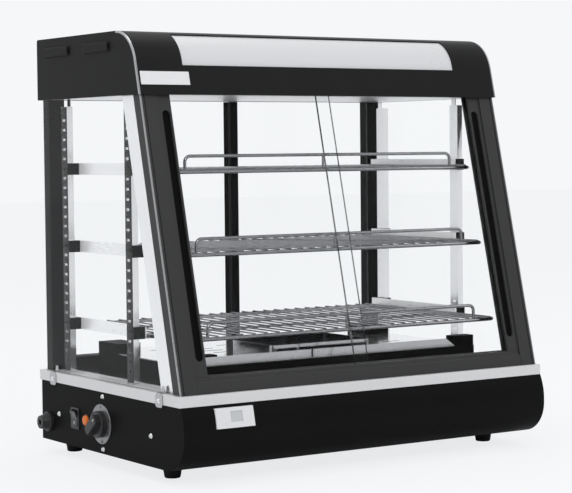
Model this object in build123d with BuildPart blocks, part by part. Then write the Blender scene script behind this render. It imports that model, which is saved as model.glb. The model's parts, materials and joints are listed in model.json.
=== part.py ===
from build123d import *
from math import cos, radians, sin, tan
import os

os.makedirs("parts", exist_ok=True)

# Heated display cabinet, in millimetres. The front faces -Y, up is +Z.
# All sizes below count from the floor and from the middle of the cabinet.

# Overall sizes
body_width = 660.0
body_depth = 437.0
foot_height = 20.5
base_height = 93.0
band_height = 15.5
window_height = 423.0
canopy_height = 94.0
front_slope = 13.84
sheet = 1.5
glass_thickness = 4.0
slack = 0.3

# From the middle of the cabinet to the origin of the files, sideways and in depth.
# The origin lies under the middle of the whole outline, knob and clips included.
origin_shift_x = 7.8
origin_shift_y = 6.45

# Slanted window frame
window_foot_inset = 5.9
frame_inset = 7.4
frame_depth = 23.0
frame_flange = 26.0
frame_step = 22.0
frame_step_back = 2.5
frame_lip = 4.0
pane_slot = 6.0
pane_divider = 1.5
bottom_flange_rise = 17.0
bottom_rail_rise = 23.0
top_rail_start = 5.0
top_rail_rise = 19.0
pocket_width = 13.0
pocket_rim = 3.0
pocket_low_rise = 21.5
pocket_high_drop = 28.0
pocket_depth = 3.0

# Base
base_inset = 1.3
base_back_inset = 5.5
cover_seam_setback = 71.5
nose_reach = 9.5
nose_high_drop = 37.5
nose_radius = 50.0
nose_upper_angle = 14.0
band_flange = 50.0
band_lip = 12.0
band_corner_radius = 2.0
band_edge_radius = 0.8
chamber_floor_thick = 1.2
floor_side_gap = 8.2
floor_front_gap = 36.6
floor_back_gap = 3.0
foot_top_radius = 15.0
foot_bottom_radius = 11.5
foot_edge_radius = 2.0
foot_inset_x = 40.2
foot_front_inset = 22.0
foot_back_inset = 31.0

# Controls on the left side panel
screw_middle_y = 10.6
screw_margin_z = 7.1
screw_margin_back = 58.6
screw_margin_front = 12.3
screw_rise = 44.5
screw_head_radius = 4.0
screw_head_height = 2.2
screw_head_taper = 0.6
screw_slot_half = 0.5
screw_slot_reach = 2.0
screw_shank_radius = 2.0
screw_shank_length = 9.0
gland_setback = 24.1
gland_rise = 28.9
gland_flange_radius = 15.4
gland_dome_radius = 12.6
gland_tip_radius = 10.0
gland_flange_length = 6.0
gland_total_length = 16.5
gland_thread_radius = 8.0
gland_thread_length = 11.0
gland_bore_radius = 4.2
gland_chamfer = 1.5
gland_nut_thick = 5.0
switch_y = 99.0
switch_rise = 44.0
switch_bezel_y = 26.0
switch_bezel_z = 33.0
switch_bezel_thick = 2.0
switch_bezel_corner = 2.0
switch_bezel_edge = 0.8
switch_body_y = 21.0
switch_body_z = 28.0
switch_body_depth = 26.0
rocker_width = 17.0
rocker_half_z = 12.0
rocker_tilt = 8.0
rocker_pin_radius = 1.5
rocker_pin_reach = 0.9
rocker_socket_depth = 1.2
rocker_pivot_in = 0.5
rocker_wing_out = 5.4
rocker_waist_out = 2.6
rocker_heel_in = 1.0
rocker_back_in = 5.5
rocker_well_gap_y = 0.5
rocker_well_gap_z = 1.4
rocker_well_depth = 12.0
lamp_y = 61.3
lamp_height = 44.8
lamp_radius = 8.0
lamp_ring_radius = 9.2
lamp_body_radius = 6.0
lamp_body_length = 22.0
lamp_ring_thick = 1.5
lens_rise = 4.0
lens_edge_radius = 3.2
dial_y = 15.0
dial_height = 44.4
dial_radius = 30.0
dial_thick = 1.5
dial_edge_radius = 0.7
knob_skirt_radius = 20.0
knob_skirt_height = 8.0
knob_grip_height = 10.0
knob_rest_turn = 50.0
knob_grip_width = 15.0
knob_grip_inset = 2.0
knob_edge_radius = 1.5
knob_gap = 0.8
knob_bore_floor = 5.0
knob_pointer_length = 7.0
knob_pointer_width = 1.6
knob_pointer_depth = 0.3
knob_pointer_inset = 3.5
shaft_radius = 3.0
shaft_clearance = 0.06
shaft_hole_radius = 5.0
shaft_tip_gap = 1.0
thermostat_body_radius = 19.0
thermostat_body_depth = 30.0

# Wiring block inside the base
wiring_gap = 27.2
wiring_setback = 38.9
wiring_length = 50.0
wiring_width = 22.0
wiring_height = 18.0
wiring_hole_radius = 2.4
wiring_hole_depth = 6.0
wiring_pitch_x = 14.0
wiring_pitch_y = 11.0

# Small plate with a display on the base front
plate_inset = 52.3
plate_length = 63.4
plate_height = 28.3
plate_drop = 4.2
plate_rise = 3.4
plate_recess = 1.2
plate_lean = 6.6
plate_back = 12.0
plate_margin = 10.0
display_inset = 34.4
display_drop = 12.7
display_width = 20.0
display_height = 15.0

# Posts, glass and canopy
post_width = 27.2
post_depth = 20.5
back_face_inset = 6.0
side_glass_inset = 0.1
side_glass_setback = 1.5
side_glass_entry = 10.0
strip_width = 38.0
bead_width = 1.6
bead_depth = 3.0
rail_groove_in = 3.0
rail_groove_width = 2.0
rail_groove_depth = 1.5
rail_back_lap = 4.0
strip_return = 5.0
post_edge_radius = 1.5
canopy_inset = 2.2
canopy_end_thick = 2.3
canopy_back_inset = 4.5
canopy_proud = 4.4
canopy_nose_radius = 59.0
canopy_back_radius = 4.0
least_radius = 0.5
canopy_sheet = 2.0
canopy_return = 3.4
canopy_trim = 3.0
light_margin = 77.8
light_top_angle = 22.0
light_low_rise = 43.0
light_thick = 2.5
light_hem = 8.0
light_reach_in = 25.0
light_reach_out = 110.0
canopy_return_low = 20.0
badge_margin = 5.0
badge_length = 81.1
badge_rise = 14.2
badge_height = 19.3
badge_thick = 1.0
louvre_length = 80.0
louvre_height = 15.0
louvre_rise = 3.5
louvre_corner = 3.0
louvre_edge = 2.5
louvre_skin = 1.2
louvre_wall = 3.0
louvre_mouth_wall = 4.0
louvre_drop = 21.3
louvre_setback = 70.0
louvre_pitch = 128.0

# Glass clips on the band
clip_front_setback = 50.1
clip_back_setback = 42.5
clip_thick = 1.2
clip_body_width = 20.0
clip_body_drop = 4.5
clip_tongue_width = 8.0
clip_tongue_rise = 10.0
clip_neck_width = 11.0
clip_corner_radius = 5.0
clip_screw_y = 1.0
clip_screw_rise = 9.0

# Pilasters and shelves
pilaster_gap = 10.6
pilaster_sheet = 1.2
pilaster_flange = 10.0
pilaster_neck_width = 10.0
pilaster_width = 20.0
pilaster_top_gap = 11.0
pilaster_back_gap = 31.5
pilaster_front_gap = 161.4
slot_pitch = 15.0
slot_first_rise = 16.0
slot_width = 8.0
slot_height = 3.6
shelf_slots = [20, 12, 4]
shelf_drop = 5.0
shelf_rod_radius = 3.0
shelf_back_gap = 11.0
shelf_front_gap = 11.3
shelf_corner = 12.0
mat_wire_radius = 1.25
mat_pitch = 21.0
mat_end_gap = 8.0
mat_embed = 0.6
cross_rod_radius = 2.0
cross_rod_spots = [0.34, 0.67]
rail_inset = 39.0
rail_rise = 23.0
rail_radius = 2.4
rail_setback = 4.9
rail_corner = 9.0
rail_post_radius = 2.0
runner_sheet = 1.5
runner_gap = 1.5
runner_height = 18.0
runner_ledge = 14.0
runner_front_reach = 4.8
runner_back_reach = 4.0
shelf_clip_reach = 7.9
shelf_clip_lap = 1.1
shelf_clip_plate = 3.0
shelf_clip_back = 2.0
shelf_clip_hook = 4.0

# Heater and water tray inside the cabinet
heater_side_gap = 31.7
heater_front_gap = 36.0
heater_back_gap = 28.0
heater_rise = 28.0
heater_block_x = 39.0
heater_block_y = 64.0
front_block_y = 20.0
heater_block_rise = 44.0
heater_lip = 12.0
lip_slant = 17.0
lip_slot_x = -53.0
lip_slot_width = 3.0
vent_length = 34.0
vent_width = 5.0
vent_pitch_x = 60.0
vent_pitch_y = 30.0
vent_margin = 30.0
element_radius = 4.0
element_end_gap = 68.0
element_half_y = 60.0
element_rise = 12.0
element_bend = 9.0
element_collar = 4.0
element_collar_height = 2.0
tray_centre_x = -20.0
tray_setback = 80.0
tray_length = 180.0
tray_depth = 120.0
tray_height = 19.0
tray_wall = 1.0
tray_corner = 10.0

# Sliding back doors
track_inset = 0.5
track_depth = 29.0
track_rise = 19.5
door_slot_depth = 11.0
inner_door_setback = 7.0
door_pitch = 13.0
door_slot_width = 6.0
door_stile_left_x = 9.0
door_stile_right_x = 23.0
door_stile_depth = 10.6
door_stile_wrap = 2.0
door_stile_gap = 1.0
door_stile_edge = 1.0
door_side_gap = 1.0
door_head_rise = 12.0
top_track_roof = 4.0
top_track_rise = 20.0

# Sliding front panes
pane_overlap = 29.0
pane_side_gap = 2.6
pane_foot_rise = 8.5
pane_head_rise = 13.0
pane_head_gap = 2.0

# Lamp in the canopy
tube_radius = 8.0
tube_inset = 2.0
tube_setback = 164.6
tube_rise = 52.0
socket_half = 13.0
socket_thick = 10.0
liner_sheet = 1.2
liner_pocket_gap = 4.0
liner_wall_start = 10.0

# Levels and half widths that follow from the sizes above
base_bottom_z = foot_height
band_bottom_z = base_bottom_z + base_height
band_top_z = band_bottom_z + band_height
canopy_bottom_z = band_top_z + window_height
canopy_top_z = canopy_bottom_z + canopy_height
band_half_x = body_width / 2
band_half_y = body_depth / 2
slope_tan = tan(radians(front_slope))
slope_cos = cos(radians(front_slope))
window_foot_y = window_foot_inset - band_half_y
base_half_x = band_half_x - base_inset
base_in_x = base_half_x - sheet
base_back_y = band_half_y - base_back_inset
frame_half_x = band_half_x - frame_inset
canopy_half_x = band_half_x - canopy_inset
canopy_back_y = band_half_y - canopy_back_inset
side_glass_out_x = frame_half_x - side_glass_inset
side_glass_in_x = side_glass_out_x - glass_thickness
post_outer_x = side_glass_in_x - slack
post_inner_x = post_outer_x - post_width
back_face_y = band_half_y - back_face_inset
post_front_y = back_face_y - post_depth
track_back_y = back_face_y - track_inset
track_front_y = track_back_y - track_depth
inner_door_y = track_front_y + inner_door_setback
outer_door_y = inner_door_y + door_pitch
side_glass_back_y = back_face_y - side_glass_setback
side_glass_top_z = canopy_bottom_z + side_glass_entry
pane_side_x = frame_half_x - frame_flange - pane_side_gap

# Places on the base
cover_seam_y = cover_seam_setback - band_half_y
nose_y = -band_half_y - nose_reach
nose_high_z = band_bottom_z - nose_high_drop
foot_x = base_half_x - foot_inset_x
foot_front_y = cover_seam_y + foot_front_inset
foot_back_y = base_back_y - foot_back_inset
panel_screw_spots = [
    (screw_middle_y, band_bottom_z - screw_margin_z),
    (base_back_y - screw_margin_back, base_bottom_z + screw_rise),
    (cover_seam_y + screw_margin_front, base_bottom_z + screw_rise),
    (screw_middle_y, base_bottom_z + screw_margin_z),
]
gland_y = base_back_y - gland_setback
gland_z = base_bottom_z + gland_rise
switch_z = base_bottom_z + switch_rise
lamp_z = base_bottom_z + lamp_height
dial_z = base_bottom_z + dial_height
wiring_left_x = wiring_gap - base_in_x
wiring_front_y = gland_y - wiring_setback
plate_left_x = plate_inset - base_half_x
plate_right_x = plate_left_x + plate_length
plate_high_z = band_bottom_z - plate_drop
plate_low_z = plate_high_z - plate_height
display_x = plate_left_x + display_inset
display_z = plate_high_z - display_drop

# Places on the canopy
light_half_x = canopy_half_x - light_margin
light_low_z = canopy_bottom_z + light_low_rise
badge_left_x = badge_margin - canopy_half_x
badge_right_x = badge_left_x + badge_length
badge_low_z = canopy_bottom_z + badge_rise
badge_high_z = badge_low_z + badge_height
louvre_z = canopy_top_z - louvre_drop
louvre_back_y = canopy_back_y - louvre_setback
louvre_spots = [louvre_back_y, louvre_back_y - louvre_pitch]
tube_half_x = light_half_x - tube_inset
tube_y = window_foot_y + tube_setback
tube_z = canopy_bottom_z + tube_rise

# Places of the clips, pilasters and shelves
clip_spots = [back_face_y - clip_back_setback, window_foot_y + clip_front_setback]
clip_body_low_z = band_bottom_z - clip_body_drop
clip_tongue_top_z = band_top_z + clip_tongue_rise
pilaster_in_x = side_glass_in_x - pilaster_gap - pilaster_flange
pilaster_top_z = canopy_bottom_z - pilaster_top_gap
pilaster_front_faces = [track_front_y - pilaster_back_gap, window_foot_y + pilaster_front_gap]
slot_first_z = band_top_z + slot_first_rise
slot_count = int((pilaster_top_z - slot_first_z) / slot_pitch)
runner_out_x = pilaster_in_x - shelf_clip_reach
shelf_half_x = runner_out_x - runner_sheet - runner_gap - shelf_rod_radius
shelf_back_y = track_front_y - shelf_back_gap
mat_wires = int(2 * (shelf_half_x - mat_end_gap) / mat_pitch) + 1
rail_half_x = shelf_half_x - rail_inset
runner_front_y = pilaster_front_faces[-1] - runner_front_reach
runner_back_y = shelf_back_y + runner_back_reach
shelf_clip_out_x = pilaster_in_x + pilaster_flange + shelf_clip_lap

# Places of the heater and the tray
chamber_floor_half_x = pilaster_in_x - floor_side_gap
chamber_floor_front_y = window_foot_y + floor_front_gap
chamber_floor_back_y = track_front_y - floor_back_gap
heater_half_x = chamber_floor_half_x - heater_side_gap
heater_front_y = chamber_floor_front_y + heater_front_gap
heater_back_y = chamber_floor_back_y - heater_back_gap
element_half_x = heater_half_x - element_end_gap
element_centre_y = (heater_front_y + heater_back_y) / 2
tray_centre_y = heater_front_y + tray_setback


def window_y(z, depth):
    """Depth position of a face that lies behind the slanted window front."""
    return window_foot_y + (z - band_top_z) * slope_tan + depth / slope_cos


def block(x0, x1, y0, y1, z0, z1, mode=Mode.ADD):
    """A rectangular block between two corners."""
    with Locations(((x0 + x1) / 2, (y0 + y1) / 2, (z0 + z1) / 2)):
        Box(x1 - x0, y1 - y0, z1 - z0, mode=mode)


def rod_x(x0, x1, y, z, radius, mode=Mode.ADD):
    """A round bar that runs sideways."""
    with Locations(Location(((x0 + x1) / 2, y, z), (0, 90, 0))):
        Cylinder(radius, abs(x1 - x0), mode=mode)


def rod_y(y0, y1, x, z, radius, mode=Mode.ADD):
    """A round bar that runs from front to back."""
    with Locations(Location((x, (y0 + y1) / 2, z), (90, 0, 0))):
        Cylinder(radius, abs(y1 - y0), mode=mode)


def side_profile(points, x0, x1, mode=Mode.ADD):
    """A straight-sided outline in the side view, drawn out between two widths."""
    with BuildSketch(Plane.YZ.offset(x0)) as outline:
        with BuildLine():
            Polyline(*points, close=True)
        make_face()
    extrude(outline.sketch, amount=x1 - x0, mode=mode)


def slanted_bar(x0, x1, z0, z1, d0, d1, mode=Mode.ADD):
    """A bar that follows the slanted window, cut off level at both ends."""
    low = [(window_y(z0, d1), z0), (window_y(z0, d0), z0)]
    high = [(window_y(z1, d0), z1), (window_y(z1, d1), z1)]
    side_profile(low + high, x0, x1, mode)


def mirrored(piece):
    """The same piece on the other side of the cabinet."""
    with BuildPart() as other:
        add(mirror(piece, about=Plane.YZ, mode=Mode.PRIVATE))
    return other.part


def save(piece, name):
    """Set one piece in the frame of the files, name it and write its file."""
    placed = piece.moved(Location((origin_shift_x, origin_shift_y, 0)))
    placed.label = name
    export_step(placed, "parts/" + name + ".step")


# Base: folded floor and back, bull-nosed front cover and two side panels
with BuildPart() as base_chassis:
    block(-base_in_x, base_in_x, cover_seam_y, base_back_y, base_bottom_z, base_bottom_z + sheet)
    block(-base_in_x, base_in_x, base_back_y - sheet, base_back_y, base_bottom_z, band_bottom_z)
save(base_chassis.part, "base_chassis")

nose_centre_y = nose_y + nose_radius
nose_centre_z = base_bottom_z + nose_radius
upper_sag = -(band_half_y + nose_y)
upper_rise = band_bottom_z - nose_high_z
upper_radius = (upper_sag**2 + upper_rise**2) / (2 * upper_sag)


def nose_outline(inset, back_y, low_z, high_z, x0, x1, mode=Mode.ADD):
    """Side outline of the front cover, or of the hollow inside it."""
    r_low = nose_radius - inset
    r_up = upper_radius - inset
    up_y = nose_y + upper_radius
    top_y = up_y - (r_up**2 - (high_z - nose_high_z) ** 2) ** 0.5
    diagonal = sin(radians(45))
    half_y = up_y - r_up * cos(radians(nose_upper_angle))
    half_z = nose_high_z + r_up * sin(radians(nose_upper_angle))
    with BuildSketch(Plane.YZ.offset(x0)) as outline:
        with BuildLine():
            Line((back_y, low_z), (nose_centre_y, low_z))
            ThreePointArc(
                (nose_centre_y, low_z),
                (nose_centre_y - r_low * diagonal, nose_centre_z - r_low * diagonal),
                (nose_centre_y - r_low, nose_centre_z),
            )
            Line((nose_y + inset, nose_centre_z), (nose_y + inset, nose_high_z))
            ThreePointArc((nose_y + inset, nose_high_z), (half_y, half_z), (top_y, high_z))
            Line((top_y, high_z), (back_y, high_z))
            Line((back_y, high_z), (back_y, low_z))
        make_face()
    extrude(outline.sketch, amount=x1 - x0, mode=mode)


with BuildPart() as base_front_cover:
    nose_outline(0, cover_seam_y, base_bottom_z, band_bottom_z, -base_half_x, base_half_x)
    nose_outline(
        sheet,
        cover_seam_y,
        base_bottom_z + sheet,
        band_bottom_z,
        -base_in_x,
        base_in_x,
        Mode.SUBTRACT,
    )
save(base_front_cover.part, "base_front_cover")


def side_panel(x0, x1):
    """One flat side panel of the base, with its screw holes."""
    block(x0, x1, cover_seam_y, base_back_y, base_bottom_z, band_bottom_z)
    for spot in panel_screw_spots:
        rod_x(x0, x1, spot[0], spot[1], screw_shank_radius + slack, Mode.SUBTRACT)


with BuildPart() as base_panel_left:
    side_panel(-base_half_x, -base_in_x)
    rod_x(-base_half_x, -base_in_x, gland_y, gland_z, gland_thread_radius + slack, Mode.SUBTRACT)
    rod_x(-base_half_x, -base_in_x, lamp_y, lamp_z, lamp_body_radius + slack, Mode.SUBTRACT)
    rod_x(-base_half_x, -base_in_x, dial_y, dial_z, shaft_hole_radius, Mode.SUBTRACT)
    block(
        -base_half_x,
        -base_in_x,
        switch_y - switch_body_y / 2 - slack,
        switch_y + switch_body_y / 2 + slack,
        switch_z - switch_body_z / 2 - slack,
        switch_z + switch_body_z / 2 + slack,
        Mode.SUBTRACT,
    )
save(base_panel_left.part, "base_panel_left")

with BuildPart() as base_panel_right:
    side_panel(base_in_x, base_half_x)
save(base_panel_right.part, "base_panel_right")


def screw_from_left(face_x, y, z):
    """A domed screw with a cross slot, driven in from the left."""
    rod_x(face_x, face_x + screw_shank_length, y, z, screw_shank_radius)
    with Locations(Location((face_x, y, z), (0, -90, 0))):
        Cone(
            screw_head_radius,
            screw_head_radius * screw_head_taper,
            screw_head_height,
            align=(Align.CENTER, Align.CENTER, Align.MIN),
        )
    tip_x = face_x - screw_head_height
    slot_x = tip_x + screw_head_height / 2
    for half_y, half_z in (
        (screw_slot_reach, screw_slot_half),
        (screw_slot_half, screw_slot_reach),
    ):
        block(tip_x, slot_x, y - half_y, y + half_y, z - half_z, z + half_z, Mode.SUBTRACT)


with BuildPart() as panel_and_clip_screws:
    for spot in panel_screw_spots:
        screw_from_left(-base_half_x, spot[0], spot[1])
    for clip_y in clip_spots:
        screw_from_left(
            -band_half_x - clip_thick,
            clip_y + clip_screw_y,
            clip_body_low_z + clip_screw_rise,
        )
    mirror(about=Plane.YZ)
save(panel_and_clip_screws.part, "panel_and_clip_screws")

with BuildPart() as feet:
    foot_gap = (foot_back_y - foot_front_y) / 2
    foot_middle = (foot_back_y + foot_front_y) / 2
    with Locations((0, foot_middle, 0)):
        with GridLocations(2 * foot_x, 2 * foot_gap, 2, 2):
            Cone(
                foot_bottom_radius,
                foot_top_radius,
                foot_height,
                align=(Align.CENTER, Align.CENTER, Align.MIN),
            )
    fillet(feet.edges().filter_by(GeomType.CIRCLE).group_by(Axis.Z)[0], radius=foot_edge_radius)
save(feet.part, "feet")

# Aluminium band round the waist, a folded channel with an open middle
with BuildPart() as waist_band:
    block(-band_half_x, band_half_x, -band_half_y, band_half_y, band_bottom_z, band_top_z)
    fillet(waist_band.edges().filter_by(Axis.Z), radius=band_corner_radius)
    fillet(waist_band.edges().group_by(Axis.Z)[-1], radius=band_edge_radius)
    block(
        -band_half_x + band_lip,
        band_half_x - band_lip,
        -band_half_y + band_lip,
        band_half_y - band_lip,
        band_bottom_z,
        band_top_z - sheet,
        Mode.SUBTRACT,
    )
    block(
        -band_half_x + sheet,
        band_half_x - sheet,
        -band_half_y + sheet,
        band_half_y - sheet,
        band_bottom_z + sheet,
        band_top_z - sheet,
        Mode.SUBTRACT,
    )
    block(
        -band_half_x + band_flange,
        band_half_x - band_flange,
        -band_half_y + band_flange,
        band_half_y - band_flange,
        band_top_z - sheet,
        band_top_z,
        Mode.SUBTRACT,
    )
    for clip_y in clip_spots:
        for x0 in (-band_half_x, band_half_x - sheet):
            rod_x(
                x0,
                x0 + sheet,
                clip_y + clip_screw_y,
                clip_body_low_z + clip_screw_rise,
                screw_shank_radius + slack,
                Mode.SUBTRACT,
            )
save(waist_band.part, "waist_band")

floor_top_z = band_top_z + chamber_floor_thick
with BuildPart() as chamber_floor:
    block(
        -chamber_floor_half_x,
        chamber_floor_half_x,
        chamber_floor_front_y,
        chamber_floor_back_y,
        band_top_z,
        floor_top_z,
    )
    for leg_y in (element_centre_y - element_half_y, element_centre_y + element_half_y):
        with Locations((element_half_x, leg_y, band_top_z)):
            Cylinder(element_radius + slack, 4 * chamber_floor_thick, mode=Mode.SUBTRACT)
save(chamber_floor.part, "chamber_floor")

# Cord inlet with its lock nut
with BuildPart() as cable_gland:
    rod_x(-base_half_x - gland_flange_length, -base_half_x, gland_y, gland_z, gland_flange_radius)
    chamfer(cable_gland.edges().group_by(Axis.X)[0], length=gland_chamfer)
    with Locations(Location((-base_half_x - gland_flange_length, gland_y, gland_z), (0, -90, 0))):
        Cone(
            gland_dome_radius,
            gland_tip_radius,
            gland_total_length - gland_flange_length,
            align=(Align.CENTER, Align.CENTER, Align.MIN),
        )
    rod_x(-base_half_x, -base_half_x + gland_thread_length, gland_y, gland_z, gland_thread_radius)
    rod_x(
        -base_half_x - gland_total_length,
        -base_half_x + gland_thread_length,
        gland_y,
        gland_z,
        gland_bore_radius,
        Mode.SUBTRACT,
    )
save(cable_gland.part, "cable_gland")

with BuildPart() as gland_nut:
    with BuildSketch(Plane.YZ.offset(-base_in_x)):
        with Locations((gland_y, gland_z)):
            RegularPolygon(radius=gland_dome_radius, side_count=6)
            Circle(gland_thread_radius + slack / 2, mode=Mode.SUBTRACT)
    extrude(amount=gland_nut_thick)
save(gland_nut.part, "gland_nut")

# Rocker switch, standing with its upper half out
bezel_x = -base_half_x - switch_bezel_thick
body_end_x = -base_half_x + switch_body_depth
rocker_x = -base_half_x + rocker_pivot_in
well_half_z = rocker_half_z + rocker_well_gap_z
well_half_y = rocker_width / 2 + rocker_well_gap_y
with BuildPart() as switch_housing:
    block(
        bezel_x,
        -base_half_x,
        switch_y - switch_bezel_y / 2,
        switch_y + switch_bezel_y / 2,
        switch_z - switch_bezel_z / 2,
        switch_z + switch_bezel_z / 2,
    )
    fillet(switch_housing.edges().filter_by(Axis.X), radius=switch_bezel_corner)
    fillet(switch_housing.edges().group_by(Axis.X)[0], radius=switch_bezel_edge)
    block(
        -base_half_x,
        body_end_x,
        switch_y - switch_body_y / 2,
        switch_y + switch_body_y / 2,
        switch_z - switch_body_z / 2,
        switch_z + switch_body_z / 2,
    )
    block(
        bezel_x,
        -base_half_x + rocker_well_depth,
        switch_y - well_half_y,
        switch_y + well_half_y,
        switch_z - well_half_z,
        switch_z + well_half_z,
        Mode.SUBTRACT,
    )
    rod_y(
        switch_y - well_half_y - rocker_socket_depth,
        switch_y + well_half_y + rocker_socket_depth,
        rocker_x,
        switch_z,
        rocker_pin_radius + shaft_clearance,
        Mode.SUBTRACT,
    )
save(switch_housing.part, "switch_housing")

with BuildPart() as switch_rocker:
    with BuildSketch(Plane.XZ.offset(-switch_y - rocker_width / 2)):
        with Locations(Location((rocker_x, switch_z, 0), (0, 0, rocker_tilt))):
            Polygon(
                (-rocker_wing_out, rocker_half_z),
                (-rocker_waist_out, 0),
                (-rocker_wing_out, -rocker_half_z),
                (rocker_heel_in, -rocker_half_z),
                (rocker_back_in, -rocker_half_z / 2),
                (rocker_back_in, rocker_half_z / 2),
                (rocker_heel_in, rocker_half_z),
                align=None,
            )
    extrude(amount=rocker_width)
    rod_y(
        switch_y - well_half_y - rocker_pin_reach,
        switch_y + well_half_y + rocker_pin_reach,
        rocker_x,
        switch_z,
        rocker_pin_radius,
    )
save(switch_rocker.part, "switch_rocker")

# Orange pilot lamp
with BuildPart() as pilot_lamp_body:
    rod_x(-base_half_x - lamp_ring_thick, -base_half_x, lamp_y, lamp_z, lamp_ring_radius)
    rod_x(-base_half_x, -base_half_x + lamp_body_length, lamp_y, lamp_z, lamp_body_radius)
save(pilot_lamp_body.part, "pilot_lamp_body")

with BuildPart() as pilot_lamp_lens:
    lens_x = -base_half_x - lamp_ring_thick
    rod_x(lens_x - lens_rise, lens_x, lamp_y, lamp_z, lamp_radius)
    fillet(pilot_lamp_lens.edges().group_by(Axis.X)[0], radius=lens_edge_radius)
save(pilot_lamp_lens.part, "pilot_lamp_lens")

# Thermostat: body and shaft inside, dial ring outside, knob on the shaft
dial_face_x = -base_half_x - dial_thick
knob_back_x = dial_face_x - knob_gap
knob_tip_x = knob_back_x - knob_skirt_height - knob_grip_height
with BuildPart() as thermostat_body:
    rod_x(-base_in_x, -base_in_x + thermostat_body_depth, dial_y, dial_z, thermostat_body_radius)
    rod_x(knob_tip_x + knob_bore_floor + shaft_tip_gap, -base_in_x, dial_y, dial_z, shaft_radius)
save(thermostat_body.part, "thermostat_body")

with BuildPart() as thermostat_dial:
    rod_x(dial_face_x, -base_half_x, dial_y, dial_z, dial_radius)
    fillet(thermostat_dial.edges().group_by(Axis.X)[0], radius=dial_edge_radius)
    rod_x(dial_face_x, -base_half_x, dial_y, dial_z, shaft_hole_radius, Mode.SUBTRACT)
save(thermostat_dial.part, "thermostat_dial")

with BuildPart() as thermostat_knob:
    rod_x(knob_back_x - knob_skirt_height, knob_back_x, dial_y, dial_z, knob_skirt_radius)
    fillet(thermostat_knob.edges().group_by(Axis.X)[0], radius=knob_edge_radius)
    with BuildSketch(Plane.YZ.offset(knob_back_x - knob_skirt_height)):
        with Locations((dial_y, dial_z)):
            Circle(knob_skirt_radius - knob_grip_inset)
            Rectangle(knob_grip_width, 3 * knob_skirt_radius, knob_rest_turn, mode=Mode.INTERSECT)
    extrude(amount=-knob_grip_height)
    fillet(thermostat_knob.edges().group_by(Axis.X)[0], radius=knob_edge_radius)
    pointer_reach = knob_skirt_radius - knob_pointer_inset - knob_pointer_length / 2
    pointer_y = dial_y - pointer_reach * sin(radians(knob_rest_turn))
    pointer_z = dial_z + pointer_reach * cos(radians(knob_rest_turn))
    with Locations(Location((knob_tip_x, pointer_y, pointer_z), (knob_rest_turn, 0, 0))):
        Box(2 * knob_pointer_depth, knob_pointer_width, knob_pointer_length, mode=Mode.SUBTRACT)
    rod_x(
        knob_tip_x + knob_bore_floor,
        knob_back_x,
        dial_y,
        dial_z,
        shaft_radius + shaft_clearance,
        Mode.SUBTRACT,
    )
save(thermostat_knob.part, "thermostat_knob")

# Wiring block inside the base
with BuildPart() as terminal_block:
    wiring_low_z = base_bottom_z + sheet
    wiring_top_z = wiring_low_z + wiring_height
    block(
        wiring_left_x,
        wiring_left_x + wiring_length,
        wiring_front_y,
        wiring_front_y + wiring_width,
        wiring_low_z,
        wiring_top_z,
    )
    wiring_x = wiring_left_x + wiring_length / 2
    with Locations((wiring_x, wiring_front_y + wiring_width / 2, wiring_top_z)):
        with GridLocations(wiring_pitch_x, wiring_pitch_y, 3, 2):
            Cylinder(wiring_hole_radius, 2 * wiring_hole_depth, mode=Mode.SUBTRACT)
save(terminal_block.part, "terminal_block")

# Plate with a small display on the front of the base
with BuildPart() as display_plate:
    plate_front = nose_y - plate_rise
    plate_top_front = nose_y + plate_lean - plate_rise
    side_profile(
        [
            (plate_front, plate_low_z),
            (plate_top_front, plate_high_z),
            (plate_top_front + plate_back, plate_high_z),
            (plate_front + plate_back, plate_low_z),
        ],
        plate_left_x,
        plate_right_x,
    )
    nose_outline(
        0,
        cover_seam_y,
        base_bottom_z,
        band_bottom_z,
        plate_left_x - plate_margin,
        plate_right_x + plate_margin,
        Mode.SUBTRACT,
    )
    block(
        display_x - display_width / 2,
        display_x + display_width / 2,
        nose_y - plate_margin,
        nose_y + plate_margin,
        display_z - display_height / 2,
        display_z + display_height / 2,
        Mode.SUBTRACT,
    )
save(display_plate.part, "display_plate")

with BuildPart() as display_window:
    side_profile(
        [
            (plate_front + plate_recess, plate_low_z),
            (plate_top_front + plate_recess, plate_high_z),
            (plate_top_front + plate_back, plate_high_z),
            (plate_front + plate_back, plate_low_z),
        ],
        display_x - display_width / 2,
        display_x + display_width / 2,
    )
    nose_outline(
        0,
        cover_seam_y,
        base_bottom_z,
        band_bottom_z,
        display_x - display_width,
        display_x + display_width,
        Mode.SUBTRACT,
    )
    block(
        display_x - display_width / 2,
        display_x + display_width / 2,
        nose_y - 2 * plate_margin,
        nose_y + 2 * plate_margin,
        display_z - display_height / 2,
        display_z + display_height / 2,
        Mode.INTERSECT,
    )
save(display_window.part, "display_window")

# Rear posts
with BuildPart() as rear_post_left:
    block(-post_outer_x, -post_inner_x, post_front_y, back_face_y, band_top_z, canopy_bottom_z)
    fillet(rear_post_left.edges().filter_by(Axis.Z), radius=post_edge_radius)
save(rear_post_left.part, "rear_post_left")
save(mirrored(rear_post_left.part), "rear_post_right")

# Slanted window frame: two side rails, a bottom rail and a top rail
rail_in_x = frame_half_x - frame_flange
step_in_x = rail_in_x - frame_step
slot_one = frame_step_back + frame_lip
slot_two = slot_one + pane_slot + pane_divider
slots_end = slot_two + pane_slot
bottom_top_z = band_top_z + bottom_rail_rise
top_rail_z = canopy_bottom_z + top_rail_start
frame_top_z = top_rail_z + top_rail_rise

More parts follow.
